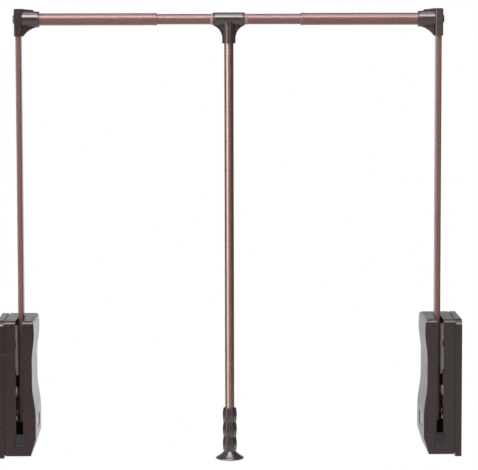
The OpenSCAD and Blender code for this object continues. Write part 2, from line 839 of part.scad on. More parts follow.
module tube_plug() {
    color(nylon) difference() {
        bar_x(outer_bore_r, tube_start_x, tube_start_x + plug_l, 0, bar_height);
        bar_x(corner_screw_r, tube_start_x - cut, corner_screw_end_x, 0, bar_height);
    }
}

// Bush in the open end of an outer tube, whose ring covers the tube's cut edge
module tube_bush() {
    color(tinted) difference() {
        union() {
            bar_x(outer_bore_r, tube_end_x - end_bush_l, tube_end_x + weld, 0, bar_height);
            bar_x(outer_r + end_ring_lip, tube_end_x, tube_end_x + end_ring_w, 0, bar_height);
        }
        bar_x(inner_r + running, tube_end_x - end_bush_l - cut, tube_end_x + end_ring_w + cut, 0,
            bar_height);
    }
}

module inner_tube() {
    color(bronze) difference() {
        bar_x(inner_r, mid_x - inner_half, mid_x + inner_half, 0, bar_height);
        bar_x(inner_r - inner_wall, mid_x - inner_half - cut, mid_x + inner_half + cut, 0,
            bar_height);
    }
}

module tee_rings() {
    gap = stop_gap / 2;
    color(tinted) for (start = [mid_x - tee_half - gap - tee_ring_w, mid_x + tee_half + gap])
        difference() {
            bar_x(inner_r + tee_ring_t, start, start + tee_ring_w, 0, bar_height);
            bar_x(inner_r, start - cut, start + tee_ring_w + cut, 0, bar_height);
        }
}

// Both curved webs of the tee, from the sleeve's ends down to the socket
function tee_web() =
    let (end_x = tee_half - web_toe, web_z = bar_height - tee_r + web_toe / 2,
        low_z = bar_height - tee_web_share * tee_drop, low_x = tee_socket_r - fit)
    concat(
        bow([-end_x, web_z], [-low_x, low_z], tee_web_sag),
        bow([low_x, low_z], [end_x, web_z], tee_web_sag),
        [[end_x, bar_height], [-end_x, bar_height]]);

module tee_connector() {
    color(plastic) translate([mid_x, 0, 0]) difference() {
        union() {
            bar_x(tee_r, -tee_half, tee_half, 0, bar_height);
            for (start = [-tee_half, tee_half - tee_rim_w])
                bar_x(tee_r + tee_rim_lip, start, start + tee_rim_w, 0, bar_height);
            bar_z(tee_socket_r, tee_bottom_z, bar_height);
            plate_y(tee_web(), -tee_web_t / 2, tee_web_t / 2);
        }
        bar_x(tee_bore_r, -tee_half - cut, tee_half + cut, 0, bar_height);
        bar_z(handle_r, tee_bottom_z - cut, handle_top_z);
        bar_y(tee_screw_r, handle_r - cut, tee_socket_r + cut, tee_screw_z);
    }
}

module tee_screw() {
    color(steel) translate([mid_x, 0, 0]) union() {
        bar_y(tee_screw_r, handle_bore_r - weld, tee_socket_r + weld, tee_screw_z);
        bar_y(tee_screw_head_share * tee_screw_r, tee_socket_r, tee_socket_r + tee_screw_head_t, tee_screw_z);
    }
}

module handle_tube() {
    color(bronze) translate([mid_x, 0, 0]) difference() {
        bar_z(handle_r, handle_end_z, handle_top_z);
        bar_z(handle_bore_r, handle_end_z - cut, handle_top_z + cut);
        bar_y(tee_screw_r, 0, handle_r + cut, tee_screw_z);
    }
}

// Barrel-shaped lobes one above the other, cut to six flats
module grip() {
    outline = concat(
        [[0, grip_bottom_z]],
        [for (i = [0:lobes - 1], k = [0:steps - 1]) let (t = k / steps)
            [notch_r + (lobe_r - notch_r) * sin(180 * t),
                grip_bottom_z + lobe_l * (i + t)]],
        [[mouth_r, grip_top_z], [0, grip_top_z]]);
    color(plastic) translate([mid_x, 0, 0]) difference() {
        intersection() {
            rotate_extrude() polygon(outline);
            translate([0, 0, grip_bottom_z]) linear_extrude(grip_l)
                circle(r = flat_r / cos(30), $fn = 6);
        }
        bar_z(handle_r, handle_end_z, grip_top_z + cut);
        bar_z(handle_bore_r, grip_bottom_z - cut, handle_end_z + cut);
    }
}

// Flared disc whose stem is pressed into the handle's tube
module knob() {
    neck = [knob_neck_r, grip_bottom_z];
    rim = [knob_r, knob_bottom_z + knob_rim_t];
    outline = concat(
        [[0, grip_bottom_z]],
        bow(neck, rim, knob_sag),
        [[knob_r - knob_edge, knob_bottom_z], [knob_r - knob_foot_w, knob_bottom_z],
            [0, knob_bottom_z + knob_dish]]);
    color(plastic) translate([mid_x, 0, 0]) union() {
        rotate_extrude() polygon(outline);
        bar_z(handle_bore_r, grip_bottom_z - weld, grip_bottom_z + knob_stem_l);
    }
}

base_plate();  // left_base_plate
cover();  // left_cover
badge_panel();  // left_badge_panel
stop_block();  // left_stop_block
cover_screws();  // left_cover_screws
pivot_pin();  // left_pivot_pin
pivot_clip();  // left_pivot_clip
pivot_bushes();  // left_pivot_bushes
gas_cylinder();  // left_gas_cylinder
cylinder_clips();  // left_cylinder_clips
cylinder_gland();  // left_cylinder_gland
piston_rod();  // left_piston_rod
crosshead();  // left_crosshead
rod_guide();  // left_rod_guide
arm_tube();  // left_arm_tube
crank_lever();  // left_crank_lever
crank_pin();  // left_crank_pin
crank_sleeve();  // left_crank_sleeve
lever_rivets();  // left_lever_rivets
corner_fitting();  // left_corner_fitting
corner_screw();  // left_corner_screw
corner_cap();  // left_corner_cap
outer_tube();  // left_outer_tube
tube_plug();  // left_tube_plug
tube_bush();  // left_tube_bush
right_side() base_plate();  // right_base_plate
right_side() cover();  // right_cover
right_side() badge_panel();  // right_badge_panel
right_side() stop_block();  // right_stop_block
right_side() cover_screws();  // right_cover_screws
right_side() pivot_pin();  // right_pivot_pin
right_side() pivot_clip();  // right_pivot_clip
right_side() pivot_bushes();  // right_pivot_bushes
right_side() gas_cylinder();  // right_gas_cylinder
right_side() cylinder_clips();  // right_cylinder_clips
right_side() cylinder_gland();  // right_cylinder_gland
right_side() piston_rod();  // right_piston_rod
right_side() crosshead();  // right_crosshead
right_side() rod_guide();  // right_rod_guide
right_side() arm_tube();  // right_arm_tube
right_side() crank_lever();  // right_crank_lever
right_side() crank_pin();  // right_crank_pin
right_side() crank_sleeve();  // right_crank_sleeve
right_side() lever_rivets();  // right_lever_rivets
right_side() corner_fitting();  // right_corner_fitting
right_side() corner_screw();  // right_corner_screw
right_side() corner_cap();  // right_corner_cap
right_side() outer_tube();  // right_outer_tube
right_side() tube_plug();  // right_tube_plug
right_side() tube_bush();  // right_tube_bush
inner_tube();
tee_rings();
tee_connector();
tee_screw();
handle_tube();
grip();
knob();
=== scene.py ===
"""Looks of the pull down closet rod.

Each sub-assembly is a class that models its pieces, dresses them and sets them on their bodies.
Sizes are in millimetres in the rod's own frame: X from the left wall, Y to the back, Z up.
"""

import logging
import math
from collections.abc import Callable, Iterator, Sequence
from contextlib import contextmanager
from dataclasses import dataclass, field
from enum import Enum

import bmesh
import bpy
from mathutils import Matrix, Vector


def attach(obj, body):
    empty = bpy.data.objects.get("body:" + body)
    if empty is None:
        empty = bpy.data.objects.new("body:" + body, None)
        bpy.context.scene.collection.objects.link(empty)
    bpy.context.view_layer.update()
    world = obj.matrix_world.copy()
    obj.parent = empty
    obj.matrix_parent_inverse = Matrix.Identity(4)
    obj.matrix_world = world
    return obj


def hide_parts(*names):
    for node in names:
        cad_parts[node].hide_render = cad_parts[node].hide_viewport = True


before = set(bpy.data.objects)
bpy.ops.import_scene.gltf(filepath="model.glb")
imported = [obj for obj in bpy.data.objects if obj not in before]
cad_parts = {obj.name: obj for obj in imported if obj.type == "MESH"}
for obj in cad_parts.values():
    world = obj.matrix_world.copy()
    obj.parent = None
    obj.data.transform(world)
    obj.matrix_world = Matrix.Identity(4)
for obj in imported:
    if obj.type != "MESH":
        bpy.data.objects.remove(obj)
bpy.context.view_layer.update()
LOG = logging.getLogger("closet_rod")

Piece = bpy.types.Object
Socket = bpy.types.NodeSocket
Point = Sequence[float]
Pair = tuple[float, float]
Triple = tuple[float, float, float]
Test = Callable[[Vector, Vector], bool]


class Axis(Enum):
    """The three directions of the rod's frame."""

    X = 0
    Y = 1
    Z = 2

    def point(self, along: float, rest: Point = (0.0, 0.0)) -> Vector:
        """The point at a place along this direction.

        Args:
            along: The place.
            rest: The two other coordinates, in their order.

        Returns:
            The point.
        """
        values = list(rest)
        values.insert(self.value, along)
        return Vector(values)


class Kind(Enum):
    """What is selected in edit mode."""

    VERT = "verts"
    EDGE = "edges"
    FACE = "faces"


class Side(Enum):
    """The two side cases."""

    LEFT = "left"
    RIGHT = "right"


class Slot(Enum):
    """The finishes that the rod is made in."""

    PLASTIC = "moulded_plastic"
    BRONZE = "bronze_aluminium"
    STEEL = "bright_steel"
    NYLON = "white_nylon"
    RUBBER = "black_rubber"
    BADGE = "badge_plastic"
    TINTED = "bronze_nylon"


MM = 0.001
NEAR = 0.002  # how close two places count as one
ALIGNED = 0.99  # how far a direction follows an axis to count as along it
MIDDLE = 419.0
BAR = 717.0

# a round piece's direction, with the two other coordinates of its axis
Line = tuple[Axis, Point]
SWING_LINE: Line = (Axis.X, (0.0, 0.0))
BAR_LINE: Line = (Axis.X, (0.0, BAR))
HANDLE_LINE: Line = (Axis.Z, (MIDDLE, 0.0))
TILTS = {Axis.X: (0.0, math.pi / 2), Axis.Y: (-math.pi / 2, 0.0), Axis.Z: (0.0, 0.0)}

# ---------------------------------------------------------------- modelling by hand


def only(piece: Piece) -> None:
    """Selects one piece alone and makes it active.

    Args:
        piece: The piece to work on.
    """
    bpy.ops.object.select_all(action="DESELECT")
    piece.select_set(True)
    bpy.context.view_layer.objects.active = piece


def settle() -> Piece:
    """Puts the newest primitive's place into its mesh.

    Returns:
        The primitive, with its object at the origin.
    """
    piece = bpy.context.object
    only(piece)
    bpy.ops.object.transform_apply(location=True, rotation=True, scale=True)
    return piece


def measured(item: bmesh.types.BMVert | bmesh.types.BMEdge | bmesh.types.BMFace) -> tuple[Vector, Vector]:
    """Where a point, an edge or a face is, and which way it goes or looks.

    Args:
        item: The point, edge or face.

    Returns:
        Its middle in millimetres, and its direction or normal.
    """
    if isinstance(item, bmesh.types.BMVert):
        return item.co / MM, item.normal
    if isinstance(item, bmesh.types.BMFace):
        return item.calc_center_median() / MM, item.normal
    first, last = (point.co / MM for point in item.verts)
    return (first + last) / 2, (last - first).normalized()


def select(piece: Piece, kind: Kind, test: Test) -> None:
    """Selects what passes a test, and nothing else.

    Args:
        piece: The piece in edit mode.
        kind: What is selected.
        test: Takes its middle in millimetres, and its direction or normal.
    """
    bpy.ops.mesh.select_all(action="DESELECT")
    mesh = bmesh.from_edit_mesh(piece.data)
    if kind is Kind.FACE:
        mesh.normal_update()
    for item in getattr(mesh, kind.value):
        if test(*measured(item)):
            item.select_set(True)
    mesh.select_flush_mode()
    bmesh.update_edit_mesh(piece.data)


@contextmanager
def editing(piece: Piece, kind: Kind = Kind.VERT) -> Iterator[Callable[[Test], None]]:
    """Opens a piece in edit mode with nothing selected.

    Args:
        piece: The piece to edit.
        kind: What is selected in it.

    Yields:
        A function that selects what passes a test.
    """
    only(piece)
    bpy.ops.object.mode_set(mode="EDIT")
    bpy.ops.mesh.select_mode(type=kind.name)
    bpy.ops.mesh.select_all(action="DESELECT")
    yield lambda test: select(piece, kind, test)
    bpy.ops.object.mode_set(mode="OBJECT")


def block(low: Point, high: Point) -> Piece:
    """A box, ready to be shaped.

    Args:
        low: Its lowest corner.
        high: Its highest corner.

    Returns:
        The box.
    """
    first = Vector(low)
    last = Vector(high)
    bpy.ops.mesh.primitive_cube_add(size=1, location=(first + last) / 2 * MM)
    bpy.context.object.scale = (last - first) * MM
    return settle()


def bar(line: Line, radius: float, start: float, end: float, sides: int = 64, turn: float = 0.0) -> Piece:
    """A round bar, ready to be shaped.

    Args:
        line: Its axis.
        radius: Its radius.
        start: Where it starts.
        end: Where it ends.
        sides: The number of its sides.
        turn: How far an upright bar is turned about its axis, in radians.

    Returns:
        The bar.
    """
    axis, centre = line
    middle = axis.point((start + end) / 2, centre) * MM
    bpy.ops.mesh.primitive_cylinder_add(
        vertices=sides, radius=radius * MM, depth=(end - start) * MM, location=middle
    )
    bpy.context.object.rotation_euler = (*TILTS[axis], turn)
    return settle()


def slice_at(axis: Axis, along: float) -> None:
    """Adds a ring of edges all round the piece in edit mode."""
    bpy.ops.mesh.select_all(action="SELECT")
    bpy.ops.mesh.bisect(plane_co=axis.point(along * MM), plane_no=axis.point(1.0))


def turned(line: Line, start: float, rings: Sequence[Pair], sides: int = 64, turn: float = 0.0) -> Piece:
    """A piece turned on a lathe: a bar with rings drawn in or out.

    Args:
        line: Its axis.
        start: The place from which the rings are counted.
        rings: The place and radius of each ring, in order.
        sides: The number of its sides.
        turn: How far an upright piece is turned about its axis, in radians.

    Returns:
        The turned piece.
    """
    axis, centre = line
    stations = [(start + step, radius) for step, radius in rings]
    widest = max(radius for _, radius in stations)
    piece = bar(line, widest, stations[0][0], stations[-1][0], sides, turn)
    with editing(piece) as choose:
        for along, _ in stations[1:-1]:
            slice_at(axis, along)
        for along, radius in stations:
            choose(lambda at, _: abs(at[axis.value] - along) < NEAR)
            share = radius / widest
            bpy.ops.transform.resize(
                value=axis.point(1.0, (share, share)), center_override=axis.point(along, centre) * MM
            )
    return piece


def bored(piece: Piece, axis: Axis, wall: float) -> Piece:
    """Opens a solid from its first end face to its last.

    Args:
        piece: The solid.
        axis: The direction of the opening.
        wall: The wall that stays round it.

    Returns:
        The same piece.
    """
    with editing(piece, Kind.FACE) as choose:
        choose(lambda _, out: abs(out[axis.value]) > ALIGNED)
        bpy.ops.mesh.inset(thickness=wall * MM)
        bpy.ops.mesh.bridge_edge_loops()
    return piece


def profiled(
    low: Point,
    high: Point,
    stations: Sequence[Pair],
    upper: bool = False,
    along: Axis = Axis.X,
    moved: Axis = Axis.Z,
) -> Piece:
    """A box, one side of which follows a curve.

    Args:
        low: The box's lowest corner.
        high: The box's highest corner.
        stations: Each place along the curve, with the side's coordinate there.
        upper: True where it is the side with the larger coordinate.
        along: The direction in which the curve runs.
        moved: The direction in which that side is moved.

    Returns:
        The shaped piece.
    """
    piece = block(low, high)
    side = (high if upper else low)[moved.value]
    with editing(piece) as choose:
        for place, _ in stations:
            if low[along.value] + NEAR < place < high[along.value] - NEAR:
                slice_at(along, place)
        for place, value in stations:
            choose(lambda at, _: abs(at[along.value] - place) < NEAR and abs(at[moved.value] - side) < NEAR)
            bpy.ops.transform.translate(value=moved.point((value - side) * MM))
    return piece


def round_edges(piece: Piece, radius: float, steps: int, test: Test) -> None:
    """Rounds chosen edges.

    Args:
        piece: The piece.
        radius: The radius of the rounding.
        steps: The number of its facets.
        test: Takes an edge's middle and direction.
    """
    with editing(piece, Kind.EDGE) as choose:
        choose(test)
        bpy.ops.mesh.bevel(offset=radius * MM, segments=steps, profile=0.5, affect="EDGES")


def sink(piece: Piece, test: Test, *steps: Pair) -> None:
    """Insets chosen faces step by step.

    Args:
        piece: The piece.
        test: Takes a face's middle and normal.
        steps: How far each step goes inwards and up.
    """
    with editing(piece, Kind.FACE) as choose:
        choose(test)
        for inwards, up in steps:
            bpy.ops.mesh.inset(thickness=inwards * MM, depth=up * MM)


def modify(piece: Piece, kind: str, **settings: object) -> None:
    """Adds a modifier and applies it.

    Args:
        piece: The piece.
        kind: The modifier's type.
        settings: Its settings.
    """
    only(piece)
    made = piece.modifiers.new(kind.title(), kind)
    for key, value in settings.items():
        setattr(made, key, value)
    bpy.ops.object.modifier_apply(modifier=made.name)


def combine(piece: Piece, operation: str, *others: Piece) -> None:
    """Cuts, joins or bounds a piece by other shapes, and clears those away.

    Args:
        piece: The piece that stays.
        operation: DIFFERENCE, UNION or INTERSECT.
        others: The other shapes.
    """
    for other in others:
        modify(piece, "BOOLEAN", operation=operation, solver="EXACT", object=other)
        bpy.data.objects.remove(other)


def carve(piece: Piece, *cutters: Piece) -> None:
    """Cuts shapes out of a piece."""
    combine(piece, "DIFFERENCE", *cutters)


def fuse(piece: Piece, *others: Piece) -> None:
    """Unites shapes with a piece."""
    combine(piece, "UNION", *others)


def gather(piece: Piece, *others: Piece) -> Piece:
    """Joins separate bodies into one piece's mesh.

    Args:
        piece: The piece that stays.
        others: The bodies that join it.

    Returns:
        The same piece.
    """
    only(piece)
    for other in others:
        other.select_set(True)
    bpy.ops.object.join()
    return piece


def finished(piece: Piece, width: float, steps: int = 2, angle: float = 38.0) -> Piece:
    """Breaks a piece's sharp edges and smooths what lies between them.

    Args:
        piece: The piece.
        width: The width of the broken edge; zero leaves the edges sharp.
        steps: The number of its facets.
        angle: The angle in degrees from which an edge counts as sharp.

    Returns:
        The same piece.
    """
    sharp = math.radians(angle)
    if width > 0:
        modify(
            piece,
            "BEVEL",
            width=width * MM,
            segments=steps,
            limit_method="ANGLE",
            angle_limit=sharp,
            miter_outer="MITER_ARC",
            use_clamp_overlap=True,
        )
    only(piece)
    bpy.ops.object.shade_smooth_by_angle(angle=sharp)
    return piece


def mirrored(piece: Piece, axis: Axis, about: float = 0.0) -> Piece:
    """A mirrored copy of a piece, with a mesh of its own.

    Args:
        piece: The piece.
        axis: The direction across the mirror.
        about: The place of the mirror.

    Returns:
        The copy, with its faces outwards.
    """
    only(piece)
    bpy.ops.object.duplicate(linked=False)
    twin = bpy.context.object
    with editing(twin, Kind.FACE):
        bpy.ops.mesh.select_all(action="SELECT")
        bpy.ops.transform.resize(value=axis.point(-1.0, (1.0, 1.0)), center_override=axis.point(about * MM))
        if bmesh.from_edit_mesh(twin.data).calc_volume(signed=True) < 0:
            bpy.ops.mesh.flip_normals()
    return twin


def pocketed(web: Piece, pocket: Callable[[], Piece], across: float) -> Piece:
    """Cuts a pocket into both sides of a web.

    Args:
        web: The web.
        pocket: Makes the pocket's shape in the web's middle.
        across: How far the pockets lie from the web's middle.

    Returns:
        The same web.
    """
    for side in (1.0, -1.0):
        cutter = pocket()
        with editing(cutter):
            bpy.ops.mesh.select_all(action="SELECT")
            bpy.ops.transform.translate(value=(0.0, side * across * MM, 0.0))
        carve(web, cutter)
    return web


def cross_cut(screw: Piece, centre: Point, halves: Pair, start: float, end: float) -> Piece:
    """Cuts a cross recess into a screw that lies from front to back.

    Args:
        screw: The screw.
        centre: The two other coordinates of its axis.
        halves: Half the length and half the width of the cross's arms.
        start: Where the recess starts.
        end: Where it ends.

    Returns:
        The same screw.
    """
    across, height = centre
    for wide, tall in (halves, halves[::-1]):
        carve(screw, block((across - wide, start, height - tall), (across + wide, end, height + tall)))
    return screw


def mix(first: float, last: float, share: float) -> float:
    """A value between two others."""
    return first + (last - first) * share


def ease(share: float) -> float:
    """A share that starts and ends softly."""
    return (1 - math.cos(math.pi * share)) / 2


def eased(start: Pair, end: Pair, steps: int = 12) -> list[Pair]:
    """A soft step from one station to another.

    Args:
        start: The first place and value.
        end: The last place and value.
        steps: The number of stretches between them.

    Returns:
        The stations.
    """
    shares = [index / steps for index in range(steps + 1)]
    return [(mix(start[0], end[0], share), mix(start[1], end[1], ease(share))) for share in shares]


def bowed(start: Pair, end: Pair, sag: float, steps: int = 12) -> list[Pair]:
    """A hollow curve between two points, as stations.

    Args:
        start: The first place and value.
        end: The last place and value.
        sag: How far the curve's middle lies to the left of the straight line.
        steps: The number of stretches.

    Returns:
        The stations.
    """
    span = math.hypot(end[0] - start[0], end[1] - start[1])
    left = ((start[1] - end[1]) / span, (end[0] - start[0]) / span)
    made = []
    for index in range(steps + 1):
        share = index / steps
        lift = sag * 4 * share * (1 - share)
        place = mix(start[0], end[0], share) + left[0] * lift
        made.append((place, mix(start[1], end[1], share) + left[1] * lift))
    return made


# ---------------------------------------------------------------- finishes


class Graph:
    """A node tree, with the few patterns of nodes that the finishes and the studio need."""

    def __init__(self, owner: bpy.types.ID) -> None:
        """Opens a node tree.

        Args:
            owner: The material or world that it belongs to.
        """
        owner.use_nodes = True
        self.nodes = owner.node_tree.nodes
        self.links = owner.node_tree.links

    def feed(self, socket: Socket, value: object) -> None:
        """Gives a socket another socket's value, or a value of its own.

        Args:
            socket: The socket.
            value: The other socket, or the value.
        """
        if isinstance(value, Socket):
            self.links.new(value, socket)
        else:
            socket.default_value = value

    def math(self, operation: str, *values: object) -> Socket:
        """A sum on values.

        Args:
            operation: Blender's name of it.
            values: Numbers or sockets.

        Returns:
            The result.
        """
        made = self.nodes.new("ShaderNodeMath")
        made.operation = operation
        for socket, value in zip(made.inputs, values):
            self.feed(socket, value)
        return made.outputs["Value"]

    def times(self, first: object, last: object) -> Socket:
        """The product of two values."""
        return self.math("MULTIPLY", first, last)

    def plus(self, first: object, last: object) -> Socket:
        """The sum of two values."""
        return self.math("ADD", first, last)

    def ranged(self, value: Socket, source: Point, target: Point = (0.0, 1.0), soft: bool = False) -> Socket:
        """A value brought from one range to another.

        Args:
            value: The value.
            source: The ends of its range.
            target: The ends of the new range.
            soft: True where it starts and ends softly.

        Returns:
            The new value.
        """
        made = self.nodes.new("ShaderNodeMapRange")
        made.interpolation_type = "SMOOTHSTEP" if soft else "LINEAR"
        self.links.new(value, made.inputs["Value"])
        for name, end in zip(("From Min", "From Max", "To Min", "To Max"), (*source, *target)):
            made.inputs[name].default_value = end
        return made.outputs["Result"]

    def soft(self, value: Socket, source: Point, target: Point = (0.0, 1.0)) -> Socket:
        """A value brought softly from one range to another."""
        return self.ranged(value, source, target, True)

    def seen(self) -> Socket:
        """Whether a ray comes from the camera, a gloss or a clear piece.

        Returns:
            1 where it does, otherwise 0.
        """
        path = self.nodes.new("ShaderNodeLightPath")
        either = self.math("MAXIMUM", path.outputs["Is Camera Ray"], path.outputs["Is Glossy Ray"])
        return self.math("MAXIMUM", either, path.outputs["Is Transmission Ray"])

    def shown(self, node: str, first: Socket, last: Socket, end: str) -> bpy.types.Node:
        """Joins two shaders and leads them to the tree's end.

        Args:
            node: The type of the node that joins them.
            first: The first shader.
            last: The last shader.
            end: The name of the tree's end.

        Returns:
            The node that joins them.
        """
        both = self.nodes.new(node)
        for socket, shader in zip(both.inputs[-2:], (first, last)):
            self.links.new(shader, socket)
        self.links.new(both.outputs["Shader"], self.nodes[end].inputs["Surface"])
        return both


class Tree(Graph):
    """The node tree of one material, with the object's own coordinates ready."""

    def __init__(self, name: str, **values: object) -> None:
        """Starts a material.

        Args:
            name: Its name.
            values: The shader's own sockets, named with underscores for spaces.
        """
        self.material = bpy.data.materials.new(name)
        super().__init__(self.material)
        self.shader = self.nodes["Principled BSDF"]
        self.place = self.nodes.new("ShaderNodeTexCoord").outputs["Object"]
        self.set(**values)

    def set(self, **values: object) -> None:
        """Sets the shader's own sockets, named with underscores for spaces."""
        for name, value in values.items():
            self.shader.inputs[name.replace("_", " ").title().replace("Ior", "IOR")].default_value = value

    def noise(self, scale: float, detail: float = 3.0, stretch: Point = (1.0, 1.0, 1.0)) -> Socket:
        """A noise pattern.

        Args:
            scale: Its fineness, in patches to a metre.
            detail: Its detail.
            stretch: How much finer it is along each axis.

        Returns:
            Its value.
        """
        mapping = self.nodes.new("ShaderNodeMapping")
        mapping.inputs["Scale"].default_value = stretch
        self.links.new(self.place, mapping.inputs["Vector"])
        made = self.nodes.new("ShaderNodeTexNoise")
        made.inputs["Scale"].default_value = scale
        made.inputs["Detail"].default_value = detail
        self.links.new(mapping.outputs["Vector"], made.inputs["Vector"])
        return made.outputs["Fac"]

    def blended(self, share: Socket, first: object, last: object) -> Socket:
        """A colour between two others.

        Args:
            share: The share of the last one.
            first: A colour, or the socket that gives it.
            last: A colour, or the socket that gives it.

        Returns:
            The colour.
        """
        made = self.nodes.new("ShaderNodeMix")
        made.data_type = "RGBA"
        self.links.new(share, made.inputs["Factor"])
        for socket, colour in ((made.inputs[6], first), (made.inputs[7], last)):
            self.feed(socket, colour if isinstance(colour, Socket) else (*colour, 1.0))
        return made.outputs[2]

    def edges(self, reach: float) -> Socket:
        """How close a place is to an outer edge, from 0 to 1.

        Args:
            reach: How far the edge is felt, in millimetres.

        Returns:
            The share.
        """
        rounded = self.nodes.new("ShaderNodeBevel")
        rounded.samples = 4
        rounded.inputs["Radius"].default_value = reach * MM
        shape = self.nodes.new("ShaderNodeNewGeometry")
        meet = self.nodes.new("ShaderNodeVectorMath")
        meet.operation = "DOT_PRODUCT"
        for socket, node in zip(meet.inputs, (rounded, shape)):
            self.links.new(node.outputs["Normal"], socket)
        return self.ranged(meet.outputs["Value"], (0.99, 0.85))

    def finish(self, colour: Socket, rough: Socket, *layers: tuple[Socket, float]) -> bpy.types.Material:
        """Gives the shader its patterns.

        Args:
            colour: Its colour.
            rough: Its roughness.
            layers: Each pattern that raises the surface, with its height in millimetres.

        Returns:
            The material.
        """
        self.links.new(colour, self.shader.inputs["Base Color"])
        self.links.new(rough, self.shader.inputs["Roughness"])
        below = None
        for height, depth in layers:
            made = self.nodes.new("ShaderNodeBump")
            made.inputs["Strength"].default_value = 1.0
            made.inputs["Distance"].default_value = depth * MM
            self.links.new(height, made.inputs["Height"])
            if below is not None:
                self.links.new(below, made.inputs["Normal"])
            below = made.outputs["Normal"]
        self.links.new(below, self.shader.inputs["Normal"])
        return self.material


@dataclass(frozen=True)
class Finish:
    """What every finish has: a slot, a name, two tones and a range of roughness."""

    slot: Slot
    name: str
    base: Triple
    tint: Triple
    rough: Pair


@dataclass(frozen=True)
class Plastic(Finish):
    """Moulded plastic with a fine eroded grain, paler along its edges: partly rubbed wear, partly a painted
    highlight.
    """

    # paler edge tone: partly rubbed wear, partly a painted highlight where the edges catch light
    rubbed_and_highlight_edge: Triple = (0.085, 0.066, 0.064)
    grain: float = 0.003
    rub_and_highlight_share: float = 0.35
    gloss: float = 0.5
    seal: float = 0.0

    def make(self) -> bpy.types.Material:
        """Makes the material.

        Returns:
            The material.
        """
        tree = Tree(self.name, metallic=0.0, specular_ior_level=self.gloss, diffuse_roughness=0.3)
        if self.seal:
            tree.set(coat_weight=1.0, coat_roughness=0.2, coat_ior=self.seal)
        clouds = tree.ranged(tree.noise(11.0), (0.3, 0.7))
        flow = tree.ranged(tree.noise(55.0, 4.0, (1.0, 1.0, 0.3)), (0.35, 0.75), (0.0, 0.25))
        body = tree.blended(clouds, tree.blended(flow, self.base, self.tint), self.base)
        rub_and_sheen_breakup = tree.ranged(tree.noise(170.0, 4.0), (0.4, 0.75), (0.1, 1.0))
        # edges lighten towards the paler tone: partly rubbed wear, partly a painted highlight
        edge_rub_and_highlight = tree.times(tree.edges(0.9), tree.ranged(rub_and_sheen_breakup, (0.0, 1.0), (0.0, self.rub_and_highlight_share)))
        rough = tree.ranged(tree.noise(38.0, 5.0), (0.3, 0.7), self.rough)
        layers = ((tree.noise(1500.0, 2.0), self.grain), (tree.noise(16.0, 1.0), 2.0 * self.grain))
        return tree.finish(tree.blended(edge_rub_and_highlight, body, self.rubbed_and_highlight_edge), rough, *layers)


@dataclass(frozen=True)
class Anodised(Finish):
    """Drawn aluminium tube, brushed along its length, dyed and sealed under a clear film; each copy's tone
    also stands in for the light and shade on its tube.
    """

    along: Axis = Axis.X
    metallic: float = 0.3
    seal: float = 1.5

    def make(self) -> bpy.types.Material:
        """Makes the material.

        Returns:
            The material.
        """
        tree = Tree(
            self.name, metallic=self.metallic, coat_weight=1.0, coat_roughness=0.28, coat_ior=self.seal
        )
        streaks = tree.noise(950.0, 4.0, self.along.point(0.012, (1.0, 1.0)))
        patches = tree.ranged(tree.noise(7.0), (0.35, 0.7), (0.0, 0.4))
        body = tree.blended(patches, self.base, self.tint)
        lighter = [min(1.0, value * 1.12) for value in self.base]
        colour = tree.blended(tree.ranged(streaks, (0.35, 0.7), (0.0, 0.5)), body, lighter)
        rough = tree.ranged(streaks, (0.3, 0.7), self.rough)
        return tree.finish(colour, rough, (streaks, 0.002), (tree.noise(60.0, 2.0), 0.002))


@dataclass(frozen=True)
class Metal(Finish):
    """Bright or lacquered metal with faint turning marks."""

    metallic: float = 1.0

    def make(self) -> bpy.types.Material:
        """Makes the material.

        Returns:
            The material.
        """
        tree = Tree(self.name, metallic=self.metallic)
        colour = tree.blended(tree.ranged(tree.noise(140.0, 5.0), (0.35, 0.7)), self.base, self.tint)
        rough = tree.ranged(tree.noise(320.0), (0.3, 0.7), self.rough)
        return tree.finish(colour, rough, (tree.noise(900.0, 3.0, (1.0, 1.0, 0.1)), 0.004))


@dataclass(frozen=True)
class Soft(Finish):
    """Nylon or rubber: waxy or matt, faintly mottled."""

    glow: float = 0.0
    gloss: float = 0.5

    def make(self) -> bpy.types.Material:
        """Makes the material.

        Returns:
            The material.
        """
        tree = Tree(self.name, metallic=0.0, specular_ior_level=self.gloss)
        tree.set(subsurface_weight=self.glow, subsurface_scale=0.002)
        colour = tree.blended(tree.ranged(tree.noise(90.0, 4.0), (0.3, 0.7)), self.base, self.tint)
        rough = tree.ranged(tree.noise(60.0, 4.0), (0.3, 0.7), self.rough)
        return tree.finish(colour, rough, (tree.noise(1100.0, 2.0), 0.01))


